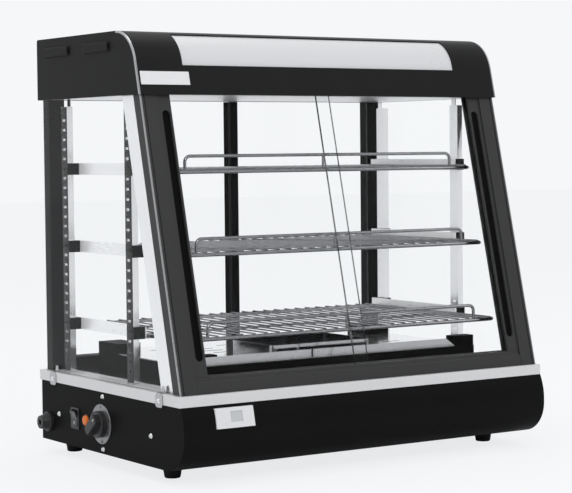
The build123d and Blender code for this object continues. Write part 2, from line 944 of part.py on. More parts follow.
with BuildPart() as frame_rail_left:
    slanted_bar(-frame_half_x, -rail_in_x, band_top_z, frame_top_z, 0, frame_depth)
    slanted_bar(-rail_in_x, -step_in_x, bottom_top_z, top_rail_z, frame_step_back, slot_one)
    slanted_bar(-rail_in_x, -step_in_x - rail_back_lap, bottom_top_z, top_rail_z, slots_end, frame_depth)
    groove_x = -frame_half_x + rail_groove_in
    slanted_bar(
        groove_x,
        groove_x + rail_groove_width,
        band_top_z,
        canopy_bottom_z,
        0,
        rail_groove_depth,
        Mode.SUBTRACT,
    )
    # A long shallow pocket with round ends beside the inner edge
    pocket_low_z = bottom_top_z + pocket_low_rise
    pocket_high_z = top_rail_z - pocket_high_drop
    pocket_z = (pocket_low_z + pocket_high_z) / 2
    pocket_x = -step_in_x - pocket_rim - pocket_width / 2
    pocket_floor = frame_step_back + pocket_depth
    pocket_plane = Plane(
        origin=(pocket_x, window_y(pocket_z, pocket_floor), pocket_z),
        x_dir=(1, 0, 0),
        z_dir=(0, -slope_cos, slope_cos * slope_tan),
    )
    with BuildSketch(pocket_plane) as pocket:
        SlotOverall((pocket_high_z - pocket_low_z) / slope_cos, pocket_width, rotation=90)
    extrude(pocket.sketch, amount=pocket_floor, mode=Mode.SUBTRACT)
save(frame_rail_left.part, "frame_rail_left")
save(mirrored(frame_rail_left.part), "frame_rail_right")

pane_foot_z = band_top_z + pane_foot_rise
pane_head_z = top_rail_z + pane_head_rise
with BuildPart() as frame_rail_bottom:
    flange_top_z = band_top_z + bottom_flange_rise
    slanted_bar(-rail_in_x, rail_in_x, band_top_z, flange_top_z, 0, frame_depth)
    slanted_bar(-rail_in_x, rail_in_x, flange_top_z, bottom_top_z, frame_step_back, frame_depth)
    for slot in (slot_one, slot_two):
        slanted_bar(
            -rail_in_x, rail_in_x, pane_foot_z, bottom_top_z, slot, slot + pane_slot, Mode.SUBTRACT
        )
save(frame_rail_bottom.part, "frame_rail_bottom")

slot_roof_z = pane_head_z + pane_head_gap
with BuildPart() as frame_rail_top:
    slanted_bar(-rail_in_x, rail_in_x, top_rail_z, frame_top_z, 0, frame_depth)
    for slot in (slot_one, slot_two):
        slanted_bar(
            -rail_in_x, rail_in_x, top_rail_z, slot_roof_z, slot, slot + pane_slot, Mode.SUBTRACT
        )
save(frame_rail_top.part, "frame_rail_top")

with BuildPart() as corner_beads:
    slanted_bar(-frame_half_x - bead_width, -frame_half_x, band_top_z, canopy_bottom_z, 0, bead_depth)
    mirror(about=Plane.YZ)
save(corner_beads.part, "corner_beads")

# Front panes: the right one runs in the outer groove, the left one behind it
pane_play = (pane_slot - glass_thickness) / 2
with BuildPart() as front_pane_right:
    slanted_bar(
        -pane_overlap / 2,
        pane_side_x,
        pane_foot_z,
        pane_head_z,
        slot_one + pane_play,
        slot_one + pane_play + glass_thickness,
    )
save(front_pane_right.part, "front_pane_right")

with BuildPart() as front_pane_left:
    slanted_bar(
        -pane_side_x,
        pane_overlap / 2,
        pane_foot_z,
        pane_head_z,
        slot_two + pane_play,
        slot_two + pane_play + glass_thickness,
    )
save(front_pane_left.part, "front_pane_left")

# Polished strip behind the slanted edge of each side glass
with BuildPart() as side_strip_left:
    strip_in = post_outer_x - sheet
    slanted_bar(
        -post_outer_x, -strip_in, band_top_z, canopy_bottom_z, frame_depth, frame_depth + strip_width
    )
    slanted_bar(
        -strip_in,
        -strip_in + strip_return,
        band_top_z,
        canopy_bottom_z,
        frame_depth + strip_width - sheet,
        frame_depth + strip_width,
    )
save(side_strip_left.part, "side_strip_left")
save(mirrored(side_strip_left.part), "side_strip_right")

# Side glass, a trapezoid that stands on the band
with BuildPart() as side_glass_left:
    edge = frame_depth + slack
    side_profile(
        [
            (side_glass_back_y, band_top_z),
            (window_y(band_top_z, edge), band_top_z),
            (window_y(side_glass_top_z, edge), side_glass_top_z),
            (side_glass_back_y, side_glass_top_z),
        ],
        -side_glass_out_x,
        -side_glass_in_x,
    )
save(side_glass_left.part, "side_glass_left")
save(mirrored(side_glass_left.part), "side_glass_right")

# Clips that hold the foot of each side glass
with BuildPart() as glass_clips:
    tongue_x = -side_glass_out_x
    for clip_y in clip_spots:
        with BuildSketch(Plane.YZ.offset(-band_half_x)) as clip_face:
            with Locations((clip_y, (clip_body_low_z + band_top_z) / 2)):
                RectangleRounded(clip_body_width, band_top_z - clip_body_low_z, clip_corner_radius)
            with Locations((clip_y, band_top_z)):
                Rectangle(clip_neck_width, 2 * clip_thick)
        extrude(amount=-clip_thick)
        block(
            -band_half_x - clip_thick,
            tongue_x,
            clip_y - clip_neck_width / 2,
            clip_y + clip_neck_width / 2,
            band_top_z,
            band_top_z + clip_thick,
        )
        with BuildSketch(Plane.YZ.offset(tongue_x)) as tongue_face:
            round_z = clip_tongue_top_z - clip_tongue_width / 2
            with Locations((clip_y, (band_top_z + round_z) / 2)):
                Rectangle(clip_tongue_width, round_z - band_top_z)
            with Locations((clip_y, round_z)):
                Circle(clip_tongue_width / 2)
        extrude(amount=-clip_thick)
        rod_x(
            -band_half_x - clip_thick,
            -band_half_x,
            clip_y + clip_screw_y,
            clip_body_low_z + clip_screw_rise,
            screw_shank_radius + slack,
            Mode.SUBTRACT,
        )
    mirror(about=Plane.YZ)
save(glass_clips.part, "glass_clips")

# Pilasters: slotted channels that carry the shelf clips
def pilaster(front_y):
    """One slotted channel on the left side, open towards the glass."""
    out_x = -pilaster_in_x - pilaster_flange
    back_y = front_y + pilaster_width
    block(out_x, -pilaster_in_x, front_y, back_y, band_top_z, pilaster_top_z)
    block(
        out_x,
        -pilaster_in_x - pilaster_sheet,
        front_y + pilaster_sheet,
        back_y - pilaster_sheet,
        band_top_z,
        pilaster_top_z,
        Mode.SUBTRACT,
    )
    block(
        -pilaster_in_x - pilaster_sheet,
        -pilaster_in_x,
        front_y + (pilaster_width - pilaster_neck_width) / 2,
        front_y + (pilaster_width + pilaster_neck_width) / 2,
        pilaster_top_z,
        canopy_bottom_z,
    )
    slot_middle = slot_first_z + slot_pitch * (slot_count - 1) / 2
    middle = (-pilaster_in_x, front_y + pilaster_width / 2, slot_middle)
    with Locations(Location(middle, (0, 90, 0))):
        with GridLocations(slot_pitch, slot_pitch, slot_count, 1):
            Box(slot_height, slot_width, 4 * pilaster_sheet, mode=Mode.SUBTRACT)


with BuildPart() as pilasters_rear:
    pilaster(pilaster_front_faces[0])
    mirror(about=Plane.YZ)
save(pilasters_rear.part, "pilasters_rear")

with BuildPart() as pilasters_front:
    pilaster(pilaster_front_faces[1])
    mirror(about=Plane.YZ)
save(pilasters_front.part, "pilasters_front")

# Shelf heights follow from the pilaster slots
shelf_levels = [slot_first_z + slot_pitch * number - shelf_drop for number in shelf_slots]
runner_low = shelf_rod_radius + runner_sheet


def shelf_clip(front_y, level):
    """One black clip that hooks in a slot and laps the front of the channel."""
    low_z = level - runner_low
    high_z = low_z + runner_height
    plate_y = front_y - shelf_clip_plate
    block(-shelf_clip_out_x, -pilaster_in_x, plate_y, front_y, low_z, high_z)
    block(
        -pilaster_in_x,
        -runner_out_x,
        plate_y,
        front_y + pilaster_width - shelf_clip_back,
        low_z,
        high_z,
    )
    hook_y = front_y + pilaster_width / 2
    block(
        -pilaster_in_x - shelf_clip_hook,
        -pilaster_in_x,
        hook_y - slot_width / 2 + slack,
        hook_y + slot_width / 2 - slack,
        level + shelf_drop - slot_height / 2 + slack,
        level + shelf_drop + slot_height / 2 - slack,
    )


with BuildPart() as shelf_clips:
    for level in shelf_levels:
        for front_y in pilaster_front_faces:
            shelf_clip(front_y, level)
    mirror(about=Plane.YZ)
save(shelf_clips.part, "shelf_clips")

with BuildPart() as shelf_runners:
    for level in shelf_levels:
        low_z = level - runner_low
        leg_in = -runner_out_x + runner_sheet
        block(-runner_out_x, leg_in, runner_front_y, runner_back_y, low_z, low_z + runner_height)
        block(leg_in, leg_in + runner_ledge, runner_front_y, runner_back_y, low_z, low_z + runner_sheet)
    mirror(about=Plane.YZ)
save(shelf_runners.part, "shelf_runners")


def wire_shelf(level):
    """One welded wire shelf: round frame, mat of thin wires and front guard rail."""
    front_y = window_y(level, frame_depth) + shelf_front_gap
    depth = shelf_back_y - front_y
    middle_y = (shelf_back_y + front_y) / 2
    with BuildPart() as shelf:
        with BuildLine(Plane.XY.offset(level)):
            frame_path = FilletPolyline(
                (shelf_half_x, front_y),
                (shelf_half_x, shelf_back_y),
                (-shelf_half_x, shelf_back_y),
                (-shelf_half_x, front_y),
                radius=shelf_corner,
                close=True,
            )
        with BuildSketch(Plane(origin=frame_path @ 0, z_dir=frame_path % 0)):
            Circle(shelf_rod_radius)
        sweep()
        mat_z = level + shelf_rod_radius + mat_wire_radius - mat_embed
        with Locations(Location((0, middle_y, mat_z), (90, 0, 0))):
            with GridLocations(mat_pitch, mat_pitch, mat_wires, 1):
                Cylinder(mat_wire_radius, depth + shelf_rod_radius)
        cross_z = mat_z - mat_wire_radius - cross_rod_radius + mat_embed
        for share in cross_rod_spots:
            rod_x(-shelf_half_x, shelf_half_x, front_y + depth * share, cross_z, cross_rod_radius)
        rail_y = front_y + rail_setback
        with BuildLine(Plane.XZ.offset(-rail_y)):
            rail_path = FilletPolyline(
                (-rail_half_x, level),
                (-rail_half_x, level + rail_rise),
                (rail_half_x, level + rail_rise),
                (rail_half_x, level),
                radius=rail_corner,
            )
        with BuildSketch(Plane(origin=rail_path @ 0, z_dir=rail_path % 0)):
            Circle(rail_radius)
        sweep()
        with Locations((0, rail_y, level + rail_rise / 2)):
            Cylinder(rail_post_radius, rail_rise)
    return shelf.part


save(wire_shelf(shelf_levels[0]), "shelf_top")
save(wire_shelf(shelf_levels[1]), "shelf_middle")
save(wire_shelf(shelf_levels[2]), "shelf_bottom")

# Heater box on the chamber floor, with raised corner blocks
heater_top_z = floor_top_z + heater_rise
block_top_z = floor_top_z + heater_block_rise
with BuildPart() as heater_box:
    block(-heater_half_x, heater_half_x, heater_front_y, heater_back_y, floor_top_z, heater_top_z)
    block(
        -heater_half_x + sheet,
        heater_half_x - sheet,
        heater_front_y + sheet,
        heater_back_y - sheet,
        floor_top_z,
        heater_top_z,
        Mode.SUBTRACT,
    )
    block_front_y = heater_front_y + sheet
    for x0 in (-heater_half_x, heater_half_x - heater_block_x):
        x1 = x0 + heater_block_x
        block(x0, x1, block_front_y, block_front_y + front_block_y, floor_top_z, block_top_z)
        block(x0, x1, heater_back_y - heater_block_y, heater_back_y, floor_top_z, block_top_z)
save(heater_box.part, "heater_box")

with BuildPart() as heater_cover:
    inner_x = heater_half_x - heater_block_x
    inner_front = block_front_y + front_block_y
    inner_back = heater_back_y - heater_block_y
    top_z = heater_top_z + sheet
    lip_top_z = top_z + heater_lip
    block(-inner_x, inner_x, heater_front_y, heater_back_y, heater_top_z, top_z)
    block(-heater_half_x, heater_half_x, inner_front, inner_back, heater_top_z, top_z)
    with BuildSketch(Plane.XZ.offset(-heater_front_y)) as lip:
        with BuildLine():
            Polyline(
                (-heater_half_x, heater_top_z),
                (inner_x, heater_top_z),
                (inner_x, top_z),
                (inner_x - lip_slant, lip_top_z),
                (-heater_half_x, lip_top_z),
                close=True,
            )
        make_face()
    extrude(lip.sketch, amount=-sheet)
    with Locations((lip_slot_x, heater_front_y, top_z + heater_lip / 2)):
        Box(lip_slot_width, 6 * sheet, heater_lip, mode=Mode.SUBTRACT)
    vent_columns = int(2 * (inner_x - vent_margin) / vent_pitch_x) + 1
    vent_rows = int((heater_back_y - heater_front_y - 2 * vent_margin) / vent_pitch_y)
    with Locations((0, element_centre_y, top_z)):
        with GridLocations(vent_pitch_x, vent_pitch_y, vent_columns, vent_rows):
            Box(vent_length, vent_width, 6 * sheet, mode=Mode.SUBTRACT)
save(heater_cover.part, "heater_cover")

# Heating element, one bent tube that goes down through the floor
element_z = floor_top_z + element_rise
with BuildPart() as heating_element:
    front_leg = element_centre_y - element_half_y
    back_leg = element_centre_y + element_half_y
    with BuildLine():
        element_path = FilletPolyline(
            (element_half_x, front_leg, band_bottom_z),
            (element_half_x, front_leg, element_z),
            (-element_half_x, front_leg, element_z),
            (-element_half_x, back_leg, element_z),
            (element_half_x, back_leg, element_z),
            (element_half_x, back_leg, band_bottom_z),
            radius=element_bend,
        )
    with BuildSketch(Plane(origin=element_path @ 0, z_dir=element_path % 0)):
        Circle(element_radius)
    sweep()
    for leg_y in (front_leg, back_leg):
        with Locations((element_half_x, leg_y, floor_top_z)):
            Cylinder(
                element_radius + element_collar,
                element_collar_height,
                align=(Align.CENTER, Align.CENTER, Align.MIN),
            )
save(heating_element.part, "heating_element")

# Loose water tray
tray_low_z = heater_top_z + sheet
with BuildPart() as water_tray:
    with BuildSketch(Plane.XY.offset(tray_low_z)):
        with Locations((tray_centre_x, tray_centre_y)):
            RectangleRounded(tray_length, tray_depth, tray_corner)
    extrude(amount=tray_height)
    with BuildSketch(Plane.XY.offset(tray_low_z + tray_wall)):
        with Locations((tray_centre_x, tray_centre_y)):
            RectangleRounded(
                tray_length - 2 * tray_wall,
                tray_depth - 2 * tray_wall,
                tray_corner - tray_wall,
            )
    extrude(amount=tray_height, mode=Mode.SUBTRACT)
save(water_tray.part, "water_tray")

# Back doors: tracks, two panes of glass, each with one black stile
track_top_z = band_top_z + track_rise
track_in_x = post_inner_x
with BuildPart() as door_track_bottom:
    block(-track_in_x, track_in_x, track_front_y, track_back_y, band_top_z, track_top_z)
    for door_y in (inner_door_y, outer_door_y):
        block(
            -track_in_x,
            track_in_x,
            door_y - door_slot_width / 2,
            door_y + door_slot_width / 2,
            track_top_z - door_slot_depth,
            track_top_z,
            Mode.SUBTRACT,
        )
save(door_track_bottom.part, "door_track_bottom")

with BuildPart() as door_track_top:
    block(
        -track_in_x,
        track_in_x,
        track_front_y,
        track_back_y,
        canopy_bottom_z,
        canopy_bottom_z + top_track_rise,
    )
    for door_y in (inner_door_y, outer_door_y):
        block(
            -track_in_x,
            track_in_x,
            door_y - door_slot_width / 2,
            door_y + door_slot_width / 2,
            canopy_bottom_z,
            canopy_bottom_z + top_track_rise - top_track_roof,
            Mode.SUBTRACT,
        )
save(door_track_top.part, "door_track_top")

door_low_z = track_top_z - door_slot_depth
door_high_z = canopy_bottom_z + door_head_rise
stile_low_z = track_top_z + door_stile_gap
stile_high_z = canopy_bottom_z - door_stile_gap


def door_glass(x0, x1, door_y, mode=Mode.ADD):
    """One plain pane of a back door."""
    half = glass_thickness / 2
    block(x0, x1, door_y - half, door_y + half, door_low_z, door_high_z, mode)


def door_stile(door_y):
    """The black upright that edges one back door and serves as its grip."""
    half = door_stile_depth / 2
    block(
        door_stile_left_x,
        door_stile_right_x,
        door_y - half,
        door_y + half,
        stile_low_z,
        stile_high_z,
    )


left_door_edges = (-track_in_x + door_side_gap, door_stile_right_x - door_stile_wrap)
right_door_edges = (door_stile_left_x + door_stile_wrap, track_in_x - door_side_gap)

with BuildPart() as back_door_left_glass:
    door_glass(*left_door_edges, outer_door_y)
save(back_door_left_glass.part, "back_door_left_glass")

with BuildPart() as back_door_right_glass:
    door_glass(*right_door_edges, inner_door_y)
save(back_door_right_glass.part, "back_door_right_glass")

with BuildPart() as back_door_left_stile:
    door_stile(outer_door_y)
    fillet(back_door_left_stile.edges().filter_by(Axis.Z), radius=door_stile_edge)
    door_glass(*left_door_edges, outer_door_y, Mode.SUBTRACT)
save(back_door_left_stile.part, "back_door_left_stile")

with BuildPart() as back_door_right_stile:
    door_stile(inner_door_y)
    fillet(back_door_right_stile.edges().filter_by(Axis.Z), radius=door_stile_edge)
    door_glass(*right_door_edges, inner_door_y, Mode.SUBTRACT)
save(back_door_right_stile.part, "back_door_right_stile")


# Canopy: wrapped skin, two end panels, edge trims, light panel and blank badge
canopy_in_x = canopy_half_x - canopy_end_thick


def canopy_outline(inset, low_z):
    """Side outline of the canopy, drawn inwards by a given amount."""
    top_z = canopy_top_z - inset
    back_y = canopy_back_y - inset
    proud = canopy_proud - inset
    with BuildSketch(Plane.YZ) as outline:
        with BuildLine():
            Polyline(
                (back_y, low_z),
                (back_y, top_z),
                (window_y(top_z, -proud), top_z),
                (window_y(low_z, -proud), low_z),
                close=True,
            )
        make_face()
        upper = outline.vertices().group_by(Axis.Y)[-1].sort_by(Axis.X)
        fillet(upper[0], radius=canopy_nose_radius - inset)
        upper = outline.vertices().group_by(Axis.Y)[-1].sort_by(Axis.X)
        fillet(upper[-1], radius=max(canopy_back_radius - inset, least_radius))
    return outline.sketch


def canopy_slab(inset, low_z, x0, x1, mode=Mode.ADD):
    """Solid slice of the canopy outline between two widths."""
    outline = canopy_outline(inset, low_z).moved(Location((x0, 0, 0)))
    extrude(outline, amount=x1 - x0, mode=mode)


nose_line_y = window_y(canopy_top_z, -canopy_proud)
nose_tangent = canopy_nose_radius * tan(radians((90 - front_slope) / 2))
arc_y = nose_line_y + nose_tangent
arc_z = canopy_top_z - canopy_nose_radius


def light_wedge(grow):
    """Wedge between the upper and lower edge of the light panel, in the side view."""
    angle = radians(light_top_angle) - grow / canopy_nose_radius
    low_z = light_low_z - grow
    high_z = arc_z + light_reach_out * cos(angle)
    return [
        (arc_y - light_reach_in, low_z),
        (arc_y - light_reach_out, low_z),
        (arc_y - light_reach_out, high_z),
        (arc_y - light_reach_out * sin(angle), high_z),
        (arc_y - light_reach_in * sin(angle), arc_z + light_reach_in * cos(angle)),
    ]


with BuildPart() as canopy_shell:
    canopy_slab(0, canopy_bottom_z, -canopy_in_x, canopy_in_x)
    canopy_slab(canopy_sheet, canopy_bottom_z - sheet, -canopy_in_x, canopy_in_x, Mode.SUBTRACT)
    slanted_bar(
        -canopy_in_x,
        canopy_in_x,
        canopy_bottom_z,
        canopy_bottom_z + canopy_sheet,
        -canopy_proud,
        -canopy_proud + canopy_return,
    )
    side_profile(light_wedge(0), -light_half_x, light_half_x, Mode.SUBTRACT)
save(canopy_shell.part, "canopy_shell")

with BuildPart() as light_panel:
    light_end_x = light_half_x + light_hem
    inner = canopy_sheet + light_thick
    canopy_slab(canopy_sheet, canopy_bottom_z, -light_end_x, light_end_x)
    canopy_slab(inner, canopy_bottom_z - sheet, -light_end_x, light_end_x, Mode.SUBTRACT)
    side_profile(light_wedge(light_hem), -light_end_x, light_end_x, Mode.INTERSECT)
save(light_panel.part, "light_panel")


# Narrow edge strip along the curved front of the left canopy end
with BuildPart() as trim_strip:
    canopy_slab(0, canopy_bottom_z - canopy_return_low, -canopy_half_x, -canopy_in_x)
    canopy_slab(
        canopy_trim,
        canopy_bottom_z - 2 * canopy_return_low,
        -canopy_half_x,
        -canopy_in_x,
        Mode.SUBTRACT,
    )
    block(
        -canopy_half_x,
        -canopy_in_x,
        arc_y - light_reach_out,
        arc_y,
        canopy_bottom_z,
        canopy_top_z,
        Mode.INTERSECT,
    )


def louvre(middle_y):
    """Pressed hood with its mouth towards the front."""
    with BuildSketch(Plane.YZ.offset(-canopy_half_x)) as hood:
        with Locations((middle_y, louvre_z)):
            RectangleRounded(louvre_length, louvre_height, louvre_corner)
    extrude(hood.sketch, amount=-louvre_rise)


with BuildPart() as canopy_end_left:
    canopy_slab(0, canopy_bottom_z, -canopy_half_x, -canopy_in_x)
    add(trim_strip.part, mode=Mode.SUBTRACT)
    for middle_y in louvre_spots:
        louvre(middle_y)
    fillet(canopy_end_left.edges().group_by(Axis.X)[0], radius=louvre_edge)
    for middle_y in louvre_spots:
        front_y = middle_y - louvre_length / 2
        back_y = middle_y + louvre_length / 2
        hollow_x = -canopy_half_x - louvre_rise + louvre_skin
        block(
            hollow_x,
            -canopy_in_x,
            front_y + louvre_wall,
            back_y - louvre_wall,
            louvre_z - louvre_height / 2 + louvre_wall,
            louvre_z + louvre_height / 2 - louvre_wall,
            Mode.SUBTRACT,
        )
        block(
            hollow_x,
            -canopy_half_x,
            front_y,
            front_y + louvre_mouth_wall,
            louvre_z - louvre_height / 2 + louvre_mouth_wall,
            louvre_z + louvre_height / 2 - louvre_mouth_wall,
            Mode.SUBTRACT,
        )
save(canopy_end_left.part, "canopy_end_left")
save(mirrored(canopy_end_left.part), "canopy_end_right")

with BuildPart() as canopy_trims:
    add(trim_strip.part)
    mirror(about=Plane.YZ)
save(canopy_trims.part, "canopy_trims")

with BuildPart() as badge_plate:
    slanted_bar(
        badge_left_x,
        badge_right_x,
        badge_low_z,
        badge_high_z,
        -canopy_proud - badge_thick,
        -canopy_proud,
    )
save(badge_plate.part, "badge_plate")

# Ceiling liner, which also holds the upper edge of the side glass
liner_top_z = canopy_bottom_z + liner_sheet
liner_front_y = window_y(liner_top_z, frame_depth) + slack
liner_back_y = canopy_back_y - canopy_sheet
pocket_z = side_glass_top_z + liner_pocket_gap
with BuildPart() as ceiling_liner:
    block(-post_outer_x, post_outer_x, liner_front_y, liner_back_y, canopy_bottom_z, liner_top_z)
    block(
        -track_in_x,
        track_in_x,
        track_front_y,
        liner_back_y,
        canopy_bottom_z,
        liner_top_z,
        Mode.SUBTRACT,
    )
    wall_x = -post_outer_x + liner_sheet
    wall_front_y = liner_front_y + liner_wall_start
    wall_back_y = track_front_y
    block(-post_outer_x, wall_x, wall_front_y, wall_back_y, liner_top_z, pocket_z + liner_sheet)
    block(-canopy_in_x, wall_x, wall_front_y, wall_back_y, pocket_z, pocket_z + liner_sheet)
    mirror(about=Plane.YZ)
save(ceiling_liner.part, "ceiling_liner")

# Lamp tube and its two sockets
with BuildPart() as lamp_tube:
    rod_x(-tube_half_x, tube_half_x, tube_y, tube_z, tube_radius)
save(lamp_tube.part, "lamp_tube")

with BuildPart() as lamp_sockets:
    block(
        -tube_half_x - socket_thick,
        -tube_half_x,
        tube_y - socket_half,
        tube_y + socket_half,
        liner_top_z,
        tube_z + socket_half,
    )
    mirror(about=Plane.YZ)
save(lamp_sockets.part, "lamp_sockets")
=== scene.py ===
import json
import math

import bmesh
import bpy
from mathutils import Matrix, Vector


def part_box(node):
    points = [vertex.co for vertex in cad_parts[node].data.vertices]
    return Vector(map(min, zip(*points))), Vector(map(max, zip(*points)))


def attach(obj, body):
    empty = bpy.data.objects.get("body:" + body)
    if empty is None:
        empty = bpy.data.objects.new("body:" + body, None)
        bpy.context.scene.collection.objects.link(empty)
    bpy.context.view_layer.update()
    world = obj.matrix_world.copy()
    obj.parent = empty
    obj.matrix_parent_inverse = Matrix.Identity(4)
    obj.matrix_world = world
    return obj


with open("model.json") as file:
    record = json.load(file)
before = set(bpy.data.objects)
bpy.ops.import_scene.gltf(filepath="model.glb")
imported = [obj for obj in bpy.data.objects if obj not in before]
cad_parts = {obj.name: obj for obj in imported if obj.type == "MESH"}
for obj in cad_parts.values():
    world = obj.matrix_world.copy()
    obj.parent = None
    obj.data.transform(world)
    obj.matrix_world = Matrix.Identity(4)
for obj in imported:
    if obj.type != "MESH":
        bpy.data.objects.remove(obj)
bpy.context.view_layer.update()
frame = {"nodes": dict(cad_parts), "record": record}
nodes = frame["nodes"]

# Camera, fitted to the photograph: metres and degrees
CAMERA_AZIMUTH = -33.4802
CAMERA_ELEVATION = 2.8856
CAMERA_ROLL = -0.5672
CAMERA_PLACE = (-1.64942, -2.48551, 0.46937)
FOCAL_PIXELS = 1897.12
PHOTO_WIDTH = 572
SENSOR_WIDTH = 36.0

# The middle of the cabinet, on the floor; the camera's place counts from here
MIDDLE = Vector((0.0078, 0.00645, 0.0))

# Marks on the controls
DIAL_NUMBERS = (("0", 0), ("30", 70), ("50", 120), ("70", 170), ("90", 220), ("110", 270))
DIAL_NUMBER_RING = 0.86
DIAL_NUMBER_HEIGHT = 0.0062
DIAL_TICKS = 16
DIAL_TICK_HALF = 0.0002
DIAL_TICK_IN = 0.735
DIAL_TICK_OUT = 0.765
KNOB_REST_TURN = 50.0
KNOB_MARK_DEPTH = 0.00022
KNOB_MARK_REACH = 0.013
KNOB_MARK_LENGTH = 0.0066
KNOB_MARK_HALF = 0.0007
ROCKER_TILT = 8.0
ROCKER_WING = 0.0054
ROCKER_WAIST = 0.0026
ROCKER_HALF = 0.012
ROCKER_MARK_HEIGHT = 0.006
MARK_LIFT = 0.00006
MARK_THICK = 0.0001
ROUND_STEPS = 24

# Black sheets in the pockets of the side rails, painted shade for the pockets' depth: POCKET_PLACE is y and
# z from MIDDLE
POCKET_SLOPE = 13.84
POCKET_INSET = 0.0095
POCKET_PLACE = (-0.15222, 0.35125)
POCKET_HALF = 0.00646
POCKET_LENGTH = 0.366

# Pale studio: the glossy world is darker towards the front, up to a height
PALE = (0.921, 0.930, 0.947, 1.0)
EVEN_LIGHT = (0.98, 0.99, 1.0, 1.0)
FLOOR_COLOUR = (0.86, 0.87, 0.885, 1.0)
FLOOR_REACH = 14.0
FLOOR_GLOW = 0.86
WORLD_STRENGTH = 0.86
FRONT_SHADE = 0.16
FRONT_SPAN = (-0.45, -0.05)
ABOVE_SPAN = (0.15, 0.6)

# Lamps: name, place, aim, size, power, whether shiny surfaces show it
LAMPS = (
    ("key", (-1.5, -3.1, 2.6), (0, 0, 0.35), (1.8, 1.8), 46, True),
    ("fill", (2.8, -2.0, 1.6), (0, 0, 0.3), (1.6, 1.6), 16, False),
    ("top", (0, 0.6, 3.0), (0, 0, 0.5), (2.4, 1.6), 22, True),
)

# Glass: cut edges, smears in the gloss, what a shadow ray keeps
EDGE_TINT = (0.02, 0.024, 0.022)
EDGE_ROUGHNESS = 0.2
EDGE_FACING = 0.8
SMEAR_SCALE = 14.0
SMEAR_DETAIL = 4.0
SMEAR_SPAN = (0.45, 0.8)
SMEAR_ROUGHNESS = 0.03
SHADOW_TINT = (0.985, 0.99, 0.99, 1)

# Uneven tone of every finish: fine grain and broad clouds, mixed
FINE_SCALE = 12.0
FINE_DETAIL = 6.0
FINE_ROUGHNESS = 0.6
FINE_SHARE = 0.6
BROAD_SCALE = 9.0
BROAD_DETAIL = 3.0

# Faces that count as looking up, which get a painted highlight, or to the cabinet's side, which get a
# painted shade
UPWARD_HIGHLIGHT_SPAN = (0.6, 0.9)
OUTWARD_SHADE_REACH = 0.15

# Rounded folds
WELD_REACH = 0.00001
FOLD_SEGMENTS = 2
FOLD_ANGLE = 35
FRAME_FOLD = 0.0012
CANOPY_FOLD = 0.0006
PLATE_FOLD = 0.0005


def make_camera():
    """The photograph's view: turned by azimuth, elevation and a small roll."""
    azimuth, elevation, roll = (
        math.radians(v) for v in (CAMERA_AZIMUTH, CAMERA_ELEVATION, CAMERA_ROLL)
    )
    back = Vector(
        (
            math.sin(azimuth) * math.cos(elevation),
            -math.cos(azimuth) * math.cos(elevation),
            math.sin(elevation),
        )
    )
    right = Vector((math.cos(azimuth), math.sin(azimuth), 0))
    up = back.cross(right)
    rolled_right = right * math.cos(roll) + up * math.sin(roll)
    rolled_up = up * math.cos(roll) - right * math.sin(roll)
    data = bpy.data.cameras.new("camera")
    data.sensor_width = SENSOR_WIDTH
    data.sensor_fit = "HORIZONTAL"
    data.lens = FOCAL_PIXELS / PHOTO_WIDTH * SENSOR_WIDTH
    data.clip_end = 50
    camera = bpy.data.objects.new("camera", data)
    turn = Matrix((rolled_right, rolled_up, back)).transposed()
    camera.matrix_world = Matrix.Translation(MIDDLE + Vector(CAMERA_PLACE)) @ turn.to_4x4()
    bpy.context.scene.collection.objects.link(camera)
    bpy.context.scene.camera = camera


def area_light(name, place, aim, size, power, shine):
    """A soft square lamp that points at a spot, and may stay out of reflections."""
    data = bpy.data.lights.new(name, "AREA")
    data.shape = "RECTANGLE"
    data.size, data.size_y = size
    data.energy = power
    lamp = bpy.data.objects.new(name, data)
    lamp.location = place
    lamp.visible_glossy = shine
    lamp.rotation_euler = (Vector(aim) - Vector(place)).to_track_quat("-Z", "Y").to_euler()
    bpy.context.scene.collection.objects.link(lamp)


class Nodes:
    """Short calls for building one node tree."""

    def __init__(self, tree):
        self.tree = tree
        tree.nodes.clear()

    def add(self, kind, **values):
        node = self.tree.nodes.new(kind)
        for name, value in values.items():
            if hasattr(node, name):
                setattr(node, name, value)
            else:
                node.inputs[name.replace("_", " ")].default_value = value
        return node

    def link(self, output, target):
        self.tree.links.new(output, target)


